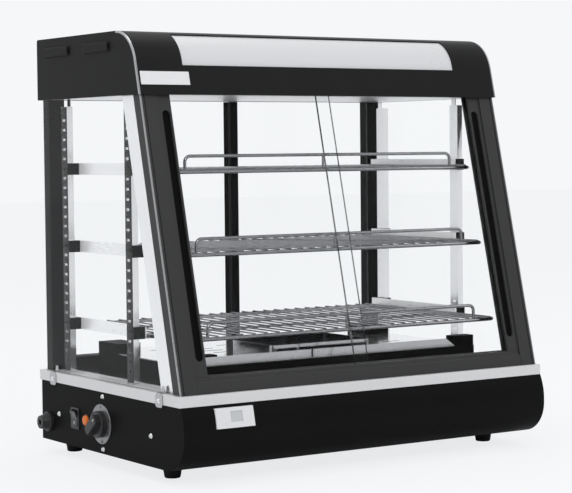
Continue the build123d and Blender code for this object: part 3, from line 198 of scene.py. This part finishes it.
def make_world():
    """Even light for surfaces, a soft gradient for shine, plain pale for the view."""
    world = bpy.data.worlds.new("studio")
    bpy.context.scene.world = world
    world.use_nodes = True
    n = Nodes(world.node_tree)
    place = n.add("ShaderNodeTexCoord")
    parts = n.add("ShaderNodeSeparateXYZ")
    n.link(place.outputs["Generated"], parts.inputs[0])
    front = n.add("ShaderNodeMapRange", interpolation_type="SMOOTHSTEP")
    front.inputs["From Min"].default_value = FRONT_SPAN[0]
    front.inputs["From Max"].default_value = FRONT_SPAN[1]
    front.inputs["To Min"].default_value = FRONT_SHADE
    front.inputs["To Max"].default_value = 1.0
    n.link(parts.outputs["Y"], front.inputs["Value"])
    above = n.add("ShaderNodeMapRange", interpolation_type="SMOOTHSTEP")
    above.inputs["From Min"].default_value = ABOVE_SPAN[0]
    above.inputs["From Max"].default_value = ABOVE_SPAN[1]
    n.link(parts.outputs["Z"], above.inputs["Value"])
    level = n.add("ShaderNodeMath", operation="MAXIMUM")
    n.link(front.outputs["Result"], level.inputs[0])
    n.link(above.outputs["Result"], level.inputs[1])
    even = n.add("ShaderNodeBackground", Color=EVEN_LIGHT, Strength=WORLD_STRENGTH)
    shine = n.add("ShaderNodeBackground", Color=PALE)
    n.link(level.outputs[0], shine.inputs["Strength"])
    seen = n.add("ShaderNodeBackground", Color=PALE, Strength=1.0)
    rays = n.add("ShaderNodeLightPath")
    first = n.add("ShaderNodeMixShader")
    n.link(rays.outputs["Is Glossy Ray"], first.inputs["Fac"])
    n.link(even.outputs[0], first.inputs[1])
    n.link(shine.outputs[0], first.inputs[2])
    direct = n.add("ShaderNodeMath", operation="MAXIMUM")
    n.link(rays.outputs["Is Camera Ray"], direct.inputs[0])
    n.link(rays.outputs["Is Transmission Ray"], direct.inputs[1])
    second = n.add("ShaderNodeMixShader")
    n.link(direct.outputs[0], second.inputs["Fac"])
    n.link(first.outputs[0], second.inputs[1])
    n.link(seen.outputs[0], second.inputs[2])
    output = n.add("ShaderNodeOutputWorld")
    n.link(second.outputs[0], output.inputs["Surface"])


def make_floor():
    """A wide pale floor that keeps a faint shadow of the cabinet."""
    mesh = bpy.data.meshes.new("studio_floor")
    corners = [(x * FLOOR_REACH, y * FLOOR_REACH, 0) for x, y in ((-1, -1), (1, -1), (1, 1), (-1, 1))]
    mesh.from_pydata(corners, [], [(0, 1, 2, 3)])
    floor = bpy.data.objects.new("studio_floor", mesh)
    bpy.context.scene.collection.objects.link(floor)
    material = bpy.data.materials.new("studio_floor")
    material.use_nodes = True
    n = Nodes(material.node_tree)
    plain = n.add("ShaderNodeBsdfDiffuse", Color=FLOOR_COLOUR)
    glow = n.add("ShaderNodeEmission", Color=PALE, Strength=1.0)
    rays = n.add("ShaderNodeLightPath")
    seen = n.add("ShaderNodeMath", operation="MAXIMUM")
    n.link(rays.outputs["Is Camera Ray"], seen.inputs[0])
    n.link(rays.outputs["Is Transmission Ray"], seen.inputs[1])
    share = n.add("ShaderNodeMath", operation="MULTIPLY")
    share.inputs[1].default_value = FLOOR_GLOW
    n.link(seen.outputs[0], share.inputs[0])
    mix = n.add("ShaderNodeMixShader")
    n.link(share.outputs[0], mix.inputs["Fac"])
    n.link(plain.outputs[0], mix.inputs[1])
    n.link(glow.outputs[0], mix.inputs[2])
    output = n.add("ShaderNodeOutputMaterial")
    n.link(mix.outputs[0], output.inputs["Surface"])
    mesh.materials.append(material)


def finish_material(
    name,
    colour,
    metallic=0.0,
    roughness=0.4,
    specular=0.5,
    grain=(60, 60, 60),
    shade=0.12,
    rough_spread=0.12,
    bump=0.15,
    bump_size=0.0002,
    speckle=0.0,
    coat=0.0,
    coat_roughness=0.1,
    upward_highlight=None,
    outward_shade=None,
):
    """A surface with uneven tone, uneven gloss and fine relief, all from noise.

    The colour given for faces that look up is a painted highlight; the colour given for faces that look to
    the cabinet's side is a painted shade.
    """
    material = bpy.data.materials.new(name)
    material.use_nodes = True
    n = Nodes(material.node_tree)
    shader = n.add("ShaderNodeBsdfPrincipled")
    shader.inputs["Metallic"].default_value = metallic
    shader.inputs["Specular IOR Level"].default_value = specular
    shader.inputs["Coat Weight"].default_value = coat
    shader.inputs["Coat Roughness"].default_value = coat_roughness
    place = n.add("ShaderNodeTexCoord")
    stretch = n.add("ShaderNodeMapping")
    stretch.inputs["Scale"].default_value = grain
    n.link(place.outputs["Object"], stretch.inputs["Vector"])
    fine = n.add("ShaderNodeTexNoise", Scale=FINE_SCALE, Detail=FINE_DETAIL, Roughness=FINE_ROUGHNESS)
    n.link(stretch.outputs[0], fine.inputs["Vector"])
    broad = n.add("ShaderNodeTexNoise", Scale=BROAD_SCALE, Detail=BROAD_DETAIL)
    n.link(place.outputs["Object"], broad.inputs["Vector"])
    tone = n.add("ShaderNodeMix", data_type="RGBA")
    dark = tuple(c * (1 - shade) for c in colour)
    light = tuple(min(c * (1 + shade) + speckle, 1) for c in colour)
    tone.inputs[6].default_value = (*dark, 1)
    tone.inputs[7].default_value = (*light, 1)
    both = n.add("ShaderNodeMath", operation="MULTIPLY_ADD")
    n.link(fine.outputs["Fac"], both.inputs[0])
    both.inputs[1].default_value = FINE_SHARE
    half = n.add("ShaderNodeMath", operation="MULTIPLY")
    half.inputs[1].default_value = 1 - FINE_SHARE
    n.link(broad.outputs["Fac"], half.inputs[0])
    n.link(half.outputs[0], both.inputs[2])
    n.link(both.outputs[0], tone.inputs[0])
    last = tone.outputs[2]
    # Painted highlight: faces that look up take the given lighter colour
    if upward_highlight:
        shape = n.add("ShaderNodeSeparateXYZ")
        n.link(place.outputs["Normal"], shape.inputs[0])
        faces_up = n.add("ShaderNodeMapRange")
        faces_up.inputs["From Min"].default_value = UPWARD_HIGHLIGHT_SPAN[0]
        faces_up.inputs["From Max"].default_value = UPWARD_HIGHLIGHT_SPAN[1]
        n.link(shape.outputs["Z"], faces_up.inputs["Value"])
        lit = n.add("ShaderNodeMix", data_type="RGBA")
        lit.inputs[7].default_value = (*upward_highlight, 1)
        n.link(faces_up.outputs["Result"], lit.inputs[0])
        n.link(last, lit.inputs[6])
        last = lit.outputs[2]
    # Painted shade: faces that look away from the cabinet's middle take the given dark colour
    if outward_shade:
        spot = n.add("ShaderNodeSeparateXYZ")
        n.link(place.outputs["Object"], spot.inputs[0])
        facing = n.add("ShaderNodeSeparateXYZ")
        n.link(place.outputs["Normal"], facing.inputs[0])
        side = n.add("ShaderNodeMath", operation="MULTIPLY")
        n.link(spot.outputs["X"], side.inputs[0])
        n.link(facing.outputs["X"], side.inputs[1])
        looks_out = n.add("ShaderNodeMath", operation="GREATER_THAN")
        looks_out.inputs[1].default_value = OUTWARD_SHADE_REACH
        n.link(side.outputs[0], looks_out.inputs[0])
        outward_shaded = n.add("ShaderNodeMix", data_type="RGBA")
        outward_shaded.inputs[7].default_value = (*outward_shade, 1)
        n.link(looks_out.outputs[0], outward_shaded.inputs[0])
        n.link(last, outward_shaded.inputs[6])
        last = outward_shaded.outputs[2]
    n.link(last, shader.inputs["Base Color"])
    gloss = n.add("ShaderNodeMapRange")
    gloss.inputs["To Min"].default_value = max(roughness - rough_spread, 0.02)
    gloss.inputs["To Max"].default_value = min(roughness + rough_spread, 1.0)
    n.link(both.outputs[0], gloss.inputs["Value"])
    n.link(gloss.outputs["Result"], shader.inputs["Roughness"])
    relief = n.add("ShaderNodeBump", Strength=bump, Distance=bump_size)
    n.link(fine.outputs["Fac"], relief.inputs["Height"])
    n.link(relief.outputs[0], shader.inputs["Normal"])
    output = n.add("ShaderNodeOutputMaterial")
    n.link(shader.outputs[0], output.inputs["Surface"])
    return material


def glass_material(name, tint, specular=0.4, ior=1.1, edge=0.0):
    """Clear sheet glass that lets lamp light through, with faint smears in its gloss.

    edge is how dark the cut edges are that look to the cabinet's side.
    """
    material = bpy.data.materials.new(name)
    material.use_nodes = True
    n = Nodes(material.node_tree)
    shader = n.add("ShaderNodeBsdfPrincipled")
    shader.inputs["Base Color"].default_value = (*tint, 1)
    shader.inputs["Transmission Weight"].default_value = 1.0
    shader.inputs["IOR"].default_value = ior
    shader.inputs["Specular IOR Level"].default_value = specular
    place = n.add("ShaderNodeTexCoord")
    smear = n.add("ShaderNodeTexNoise", Scale=SMEAR_SCALE, Detail=SMEAR_DETAIL)
    n.link(place.outputs["Object"], smear.inputs["Vector"])
    gloss = n.add("ShaderNodeMapRange")
    gloss.inputs["From Min"].default_value = SMEAR_SPAN[0]
    gloss.inputs["From Max"].default_value = SMEAR_SPAN[1]
    gloss.inputs["To Min"].default_value = 0.0
    gloss.inputs["To Max"].default_value = SMEAR_ROUGHNESS
    n.link(smear.outputs["Fac"], gloss.inputs["Value"])
    n.link(gloss.outputs["Result"], shader.inputs["Roughness"])
    rim = n.add("ShaderNodeBsdfPrincipled", Roughness=EDGE_ROUGHNESS)
    rim.inputs["Base Color"].default_value = (*EDGE_TINT, 1)
    shape = n.add("ShaderNodeSeparateXYZ")
    n.link(place.outputs["Normal"], shape.inputs[0])
    sideways = n.add("ShaderNodeMath", operation="ABSOLUTE")
    n.link(shape.outputs["X"], sideways.inputs[0])
    at_edge = n.add("ShaderNodeMath", operation="GREATER_THAN")
    at_edge.inputs[1].default_value = EDGE_FACING
    n.link(sideways.outputs[0], at_edge.inputs[0])
    cut = n.add("ShaderNodeMath", operation="MULTIPLY")
    cut.inputs[1].default_value = edge
    n.link(at_edge.outputs[0], cut.inputs[0])
    sheet = n.add("ShaderNodeMixShader")
    n.link(cut.outputs[0], sheet.inputs["Fac"])
    n.link(shader.outputs[0], sheet.inputs[1])
    n.link(rim.outputs[0], sheet.inputs[2])
    clear = n.add("ShaderNodeBsdfTransparent", Color=SHADOW_TINT)
    rays = n.add("ShaderNodeLightPath")
    mix = n.add("ShaderNodeMixShader")
    n.link(rays.outputs["Is Shadow Ray"], mix.inputs["Fac"])
    n.link(sheet.outputs[0], mix.inputs[1])
    n.link(clear.outputs[0], mix.inputs[2])
    output = n.add("ShaderNodeOutputMaterial")
    n.link(mix.outputs[0], output.inputs["Surface"])
    return material


def dress(material, *names):
    """Give CAD nodes a material."""
    for name in names:
        piece = nodes[name]
        if not piece.material_slots:
            piece.data.materials.append(material)
        for slot in piece.material_slots:
            slot.link = "OBJECT"
            slot.material = material


def soften(width, *names):
    """Round the sharp folds of CAD nodes a little, so that they catch the light."""
    for name in names:
        weld = nodes[name].modifiers.new("weld", "WELD")
        weld.merge_threshold = WELD_REACH
        bevel = nodes[name].modifiers.new("fold", "BEVEL")
        bevel.width = width
        bevel.segments = FOLD_SEGMENTS
        bevel.limit_method = "ANGLE"
        bevel.angle_limit = math.radians(FOLD_ANGLE)
        bevel.harden_normals = True


make_camera()
make_world()
make_floor()
for lamp_settings in LAMPS:
    area_light(*lamp_settings)

# Finishes of the painted, metal and plastic pieces
enamel = finish_material(
    "black_enamel_satin", (0.0068, 0.0068, 0.007), roughness=0.36, specular=0.02,
    grain=(40, 40, 40), shade=0.25, bump=0.10, rough_spread=0.07, bump_size=0.00012,
)
canopy_enamel = finish_material(
    "canopy_enamel_satin", (0.0135, 0.0135, 0.0139), roughness=0.38, specular=0.045,
    grain=(40, 40, 40), shade=0.25, bump=0.10, rough_spread=0.07, bump_size=0.00012,
)
frame_black = finish_material(
    "black_anodised", (0.031, 0.031, 0.0315), roughness=0.45, specular=0.22,
    grain=(60, 60, 6), shade=0.12, bump=0.12, rough_spread=0.08, bump_size=0.0001,
)
deep_black = finish_material(
    "black_coat", (0.005, 0.005, 0.0055), roughness=0.42, specular=0.06,
    grain=(60, 60, 6), shade=0.2, bump=0.05, rough_spread=0.06, bump_size=0.00003,
)
silver = finish_material(
    "satin_aluminium", (0.60, 0.60, 0.605), metallic=0.35, roughness=0.36,
    grain=(3, 3, 160), shade=0.06, bump=0.12, bump_size=0.00008,
)
# Painted shade: the faces of the pilasters that look to the cabinet's side are painted nearly black
post_silver = finish_material(
    "pilaster_steel", (0.74, 0.74, 0.75), metallic=0.95, roughness=0.16,
    grain=(180, 180, 3), shade=0.2, bump=0.15, bump_size=0.00008,
    outward_shade=(0.03, 0.03, 0.03),
)
polished = finish_material(
    "polished_strip_steel", (0.84, 0.84, 0.85), metallic=0.85, roughness=0.2,
    grain=(200, 200, 4), shade=0.05, bump=0.15, bump_size=0.00006, rough_spread=0.05,
)
steel = finish_material(
    "satin_sheet_steel", (0.72, 0.72, 0.73), metallic=0.9, roughness=0.32,
    grain=(4, 180, 180), shade=0.08, bump=0.15, bump_size=0.00008,
)
chrome = finish_material(
    "chrome_wire_plate", (0.23, 0.23, 0.24), metallic=1.0, roughness=0.08,
    grain=(120, 120, 120), shade=0.1, bump=0.1, bump_size=0.00005, rough_spread=0.05,
)
bright = finish_material(
    "bright_fastener", (0.8, 0.8, 0.8), metallic=0.9, roughness=0.25,
    grain=(150, 150, 150), shade=0.08, bump=0.1, bump_size=0.00005,
)
rubber = finish_material(
    "foot_rubber", (0.012, 0.012, 0.012), roughness=0.72, specular=0.3,
    grain=(90, 90, 90), shade=0.3, bump=0.3, bump_size=0.0002,
)
plastic = finish_material(
    "grained_black_plastic", (0.014, 0.014, 0.015), roughness=0.42, specular=0.4,
    grain=(220, 220, 220), shade=0.2, bump=0.35, bump_size=0.00012,
)
gloss_plastic = finish_material(
    "smooth_black_plastic", (0.012, 0.012, 0.014), roughness=0.22, specular=0.45,
    grain=(100, 100, 100), shade=0.2, bump=0.05, bump_size=0.00005,
)
lens_orange = finish_material(
    "orange_lamp_lens", (0.6, 0.13, 0.006), roughness=0.18, specular=0.3,
    grain=(300, 300, 300), shade=0.35, bump=0.3, bump_size=0.0002, coat=0.15,
)
dial_metal = finish_material(
    "dial_brushed", (0.24, 0.24, 0.245), metallic=0.85, roughness=0.35,
    grain=(4, 220, 30), shade=0.15, bump=0.2, bump_size=0.00006,
)
plate_white = finish_material(
    "plate_silver_white", (0.64, 0.64, 0.65), metallic=0.1, roughness=0.35,
    grain=(150, 150, 150), shade=0.03, bump=0.05, bump_size=0.00004,
)
badge_metal = finish_material(
    "blank_badge_metal", (0.7, 0.7, 0.71), metallic=0.25, roughness=0.3,
    grain=(4, 200, 200), shade=0.05, bump=0.08, bump_size=0.00004,
)
display_dark = finish_material(
    "display_lens", (0.46, 0.47, 0.48), roughness=0.15, specular=0.5,
    grain=(90, 90, 90), shade=0.2, bump=0.03, bump_size=0.00003,
)
ceramic = finish_material(
    "terminal_ceramic", (0.7, 0.68, 0.62), roughness=0.5,
    grain=(120, 120, 120), shade=0.08, bump=0.2, bump_size=0.0001,
)
socket_white = finish_material(
    "socket_plastic_white", (0.72, 0.72, 0.7), roughness=0.4,
    grain=(120, 120, 120), shade=0.05, bump=0.1, bump_size=0.0001,
)
# Painted highlight: the faces of the heater cover that look up are painted much lighter than its sides
heater_steel_top_highlight = finish_material(
    "heater_cover_steel_top_highlight", (0.40, 0.40, 0.41), metallic=0.95, roughness=0.14,
    grain=(4, 180, 180), shade=0.1, bump=0.12, bump_size=0.00006, rough_spread=0.05,
    upward_highlight=(0.82, 0.82, 0.83),
)
heater_black = finish_material(
    "heater_matt_black", (0.0035, 0.0035, 0.0035), roughness=0.5, specular=0.03,
    grain=(70, 70, 70), shade=0.3, bump=0.25, bump_size=0.0002,
)
# Painted shade: the matt black of the sheets laid in the rail pockets
pocket_shade = finish_material(
    "pocket_painted_shade", (0.003, 0.003, 0.003), roughness=0.6, specular=0.05,
    grain=(70, 70, 70), shade=0.3, bump=0.2, bump_size=0.0001,
)
clip_metal = finish_material(
    "clip_satin_steel", (0.42, 0.42, 0.43), metallic=0.9, roughness=0.24,
    grain=(150, 150, 20), shade=0.15, bump=0.12, bump_size=0.00006,
)
runner_metal = finish_material(
    "runner_bright_steel", (0.86, 0.86, 0.87), metallic=0.35, roughness=0.3,
    grain=(200, 4, 200), shade=0.05, bump=0.1, bump_size=0.00006,
)
tray_steel = finish_material(
    "tray_polished_steel", (0.36, 0.36, 0.37), metallic=1.0, roughness=0.1,
    grain=(4, 180, 180), shade=0.12, bump=0.12, bump_size=0.00006, rough_spread=0.05,
)
floor_steel = finish_material(
    "chamber_polished_steel", (0.66, 0.66, 0.67), metallic=1.0, roughness=0.13,
    grain=(4, 180, 180), shade=0.08, bump=0.12, bump_size=0.00006, rough_spread=0.05,
)
element_metal = finish_material(
    "element_tinted_sheath", (0.2, 0.17, 0.15), metallic=0.9, roughness=0.4,
    grain=(20, 120, 120), shade=0.35, bump=0.15, bump_size=0.0001,
)
diffuser = finish_material(
    "light_diffuser_grey", (0.52, 0.525, 0.535), metallic=0.0, roughness=0.3, specular=0.5,
    grain=(30, 30, 30), shade=0.02, bump=0.02, bump_size=0.00005,
)
trim = finish_material(
    "trim_polished", (0.42, 0.42, 0.43), metallic=0.9, roughness=0.25,
    grain=(60, 60, 60), shade=0.06, bump=0.05, bump_size=0.00005,
)
bead_grey = finish_material(
    "bead_satin", (0.34, 0.34, 0.345), metallic=0.6, roughness=0.3,
    grain=(60, 60, 6), shade=0.08, bump=0.05, bump_size=0.00005,
)
tube_glow = finish_material(
    "lamp_tube_frosted", (0.85, 0.85, 0.83), roughness=0.3,
    grain=(60, 60, 60), shade=0.03, bump=0.02, bump_size=0.00005,
)
pane = glass_material("clear_pane", (0.992, 0.997, 0.996))
front_glass = glass_material("front_pane_glass", (0.992, 0.997, 0.996), edge=0.85)

# Finishes of the printed marks
ink = finish_material(
    "printed_ink_black", (0.015, 0.015, 0.016), roughness=0.5, specular=0.3,
    grain=(200, 200, 200), shade=0.2, bump=0.05, bump_size=0.00002,
)
mark_white = finish_material(
    "printed_mark_white", (0.75, 0.75, 0.74), roughness=0.45,
    grain=(200, 200, 200), shade=0.04, bump=0.05, bump_size=0.00002,
)

# Which node wears which finish
dress(enamel, "base_chassis", "base_front_cover", "base_panel_left", "base_panel_right")
dress(canopy_enamel, "canopy_shell", "canopy_end_left", "canopy_end_right")
dress(bright, "panel_and_clip_screws")
dress(rubber, "feet")
dress(silver, "waist_band")
dress(steel, "ceiling_liner", "thermostat_body")
dress(tray_steel, "water_tray")
dress(floor_steel, "chamber_floor")
dress(heater_steel_top_highlight, "heater_cover")
dress(plastic, "cable_gland", "gland_nut", "switch_housing", "thermostat_knob", "pilot_lamp_body")
dress(gloss_plastic, "switch_rocker")
dress(lens_orange, "pilot_lamp_lens")
dress(dial_metal, "thermostat_dial")
dress(ceramic, "terminal_block")
dress(plate_white, "display_plate")
dress(display_dark, "display_window")
dress(post_silver, "pilasters_rear", "pilasters_front")
dress(frame_black, "frame_rail_left", "frame_rail_right", "frame_rail_bottom", "frame_rail_top")
dress(deep_black, "door_track_bottom", "door_track_top", "shelf_clips")
dress(deep_black, "rear_post_left", "rear_post_right")
dress(deep_black, "back_door_left_stile", "back_door_right_stile")
dress(bead_grey, "corner_beads")
dress(trim, "canopy_trims")
dress(polished, "side_strip_left", "side_strip_right")
dress(runner_metal, "shelf_runners")
dress(clip_metal, "glass_clips")
dress(chrome, "shelf_top", "shelf_middle", "shelf_bottom")
dress(heater_black, "heater_box")
dress(element_metal, "heating_element")
dress(diffuser, "light_panel")
dress(badge_metal, "badge_plate")
dress(tube_glow, "lamp_tube")
dress(socket_white, "lamp_sockets")
dress(front_glass, "front_pane_left", "front_pane_right")
dress(
    pane,
    "side_glass_left",
    "side_glass_right",
    "back_door_left_glass",
    "back_door_right_glass",
)


def words(name, text, height, place, right, up, body, material):
    """Generic marks laid flat on a face: a thin text piece with its own turn."""
    data = bpy.data.curves.new(name, "FONT")
    data.body = text
    data.size = height
    data.extrude = MARK_THICK
    data.align_x = "CENTER"
    data.align_y = "CENTER"
    piece = bpy.data.objects.new(name, data)
    right = Vector(right).normalized()
    up = Vector(up).normalized()
    turn = Matrix((right, up, right.cross(up))).transposed()
    piece.matrix_world = Matrix.Translation(place) @ turn.to_4x4()
    bpy.context.scene.collection.objects.link(piece)
    data.materials.append(material)
    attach(piece, body)


def joint_place(name):
    """Where the record puts a joint's axis."""
    return next(j for j in frame["record"]["behaviour"]["joints"] if j["name"] == name)["pos_m"]


def slot_piece(name, middle, side, along, half_width, length, body, material):
    """A thin flat piece with round ends, laid in a groove or pocket of a solid."""
    mesh = bpy.data.meshes.new(name)
    shape = bmesh.new()
    rim = []
    for step in range(ROUND_STEPS):
        angle = 2 * math.pi * (step + 0.5) / ROUND_STEPS
        end = length / 2 - half_width
        lift = end if math.sin(angle) >= 0 else -end
        rim.append(
            shape.verts.new(
                middle + side * half_width * math.cos(angle) + along * (lift + half_width * math.sin(angle))
            )
        )
    shape.faces.new(rim)
    shape.to_mesh(mesh)
    shape.free()
    piece = bpy.data.objects.new(name, mesh)
    bpy.context.scene.collection.objects.link(piece)
    mesh.materials.append(material)
    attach(piece, body)


def pocket_shade_sheets():
    """Black sheets laid on the floors of the long pockets in the two side rails of the window, as painted
    shade.
    """
    slope = math.radians(POCKET_SLOPE)
    along = Vector((0, math.sin(slope), math.cos(slope)))
    for name, side in (("pocket_liner_left", -1), ("pocket_liner_right", 1)):
        low, high = (Vector(corner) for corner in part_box(name.replace("pocket_liner", "frame_rail")))
        inner_x = high.x if side < 0 else low.x
        middle = Vector((inner_x + side * POCKET_INSET, MIDDLE.y + POCKET_PLACE[0], POCKET_PLACE[1]))
        slot_piece(
            name, middle, Vector((side, 0, 0)), along, POCKET_HALF, POCKET_LENGTH,
            "cabinet", pocket_shade,
        )


def dial_marks():
    """Numbers and ticks round the dial ring, read from the left of the cabinet."""
    low, high = (Vector(corner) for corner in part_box("thermostat_dial"))
    centre = (low + high) / 2
    face_x = low.x - MARK_LIFT
    radius = (high.z - low.z) / 2
    for number, turn in DIAL_NUMBERS:
        angle = math.radians(turn)
        out = Vector((0, -math.sin(angle), math.cos(angle)))
        along = Vector((0, -math.cos(angle), -math.sin(angle)))
        place = Vector((face_x, centre.y, centre.z)) + out * radius * DIAL_NUMBER_RING
        words(
            "dial_number_%s" % number, number, DIAL_NUMBER_HEIGHT, place, along, out,
            "cabinet", ink,
        )
    mesh = bpy.data.meshes.new("dial_ticks")
    ticks = bmesh.new()
    first, last = DIAL_NUMBERS[1][1], DIAL_NUMBERS[-1][1]
    for step in range(DIAL_TICKS + 1):
        angle = math.radians(first + step * (last - first) / DIAL_TICKS)
        out = Vector((0, -math.sin(angle), math.cos(angle)))
        along = Vector((0, -math.cos(angle), -math.sin(angle))) * DIAL_TICK_HALF
        inner = Vector((face_x, centre.y, centre.z)) + out * radius * DIAL_TICK_IN
        outer = Vector((face_x, centre.y, centre.z)) + out * radius * DIAL_TICK_OUT
        corners = [ticks.verts.new(p) for p in (inner - along, inner + along, outer + along, outer - along)]
        ticks.faces.new(corners)
    ticks.to_mesh(mesh)
    ticks.free()
    piece = bpy.data.objects.new("dial_ticks", mesh)
    bpy.context.scene.collection.objects.link(piece)
    mesh.materials.append(ink)
    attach(piece, "cabinet")


def knob_mark():
    """White line sunk in the knob's grip, in the groove that the solid has."""
    low = Vector(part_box("thermostat_knob")[0])
    pivot = Vector(joint_place("thermostat_turn"))
    turn = math.radians(KNOB_REST_TURN)
    out = Vector((0, -math.sin(turn), math.cos(turn)))
    side = Vector((0, -math.cos(turn), -math.sin(turn)))
    middle = Vector((low.x + KNOB_MARK_DEPTH, pivot.y, pivot.z)) + out * KNOB_MARK_REACH
    slot_piece(
        "knob_pointer_line", middle, side, out, KNOB_MARK_HALF, KNOB_MARK_LENGTH,
        "thermostat_knob", mark_white,
    )


def rocker_marks():
    """The bar and the ring on the two halves of the rocker."""
    pivot = Vector(joint_place("switch_rock"))
    for name, text, sign in (("rocker_mark_on", "I", -1), ("rocker_mark_off", "O", 1)):
        lean = math.radians(ROCKER_TILT) - sign * math.atan2(ROCKER_WING - ROCKER_WAIST, ROCKER_HALF)
        up = Vector((-math.sin(lean), 0, math.cos(lean)))
        tilt = math.radians(ROCKER_TILT)
        middle_out = (ROCKER_WING + ROCKER_WAIST) / 2
        middle_up = -sign * ROCKER_HALF / 2
        middle = Vector(
            (
                -middle_out * math.cos(tilt) - middle_up * math.sin(tilt),
                0,
                -middle_out * math.sin(tilt) + middle_up * math.cos(tilt),
            )
        )
        normal = Vector((0, -1, 0)).cross(up)
        place = pivot + middle + normal * MARK_LIFT
        words(
            name, text, ROCKER_MARK_HEIGHT, place, (0, -1, 0), up,
            "switch_rocker", mark_white,
        )


dial_marks()
knob_mark()
rocker_marks()
pocket_shade_sheets()
soften(FRAME_FOLD, "frame_rail_left", "frame_rail_right", "frame_rail_bottom", "frame_rail_top")
soften(CANOPY_FOLD, "canopy_end_left", "canopy_end_right")
soften(PLATE_FOLD, "side_strip_left", "side_strip_right", "display_plate", "badge_plate")

bpy.context.scene.view_settings.view_transform = "Standard"
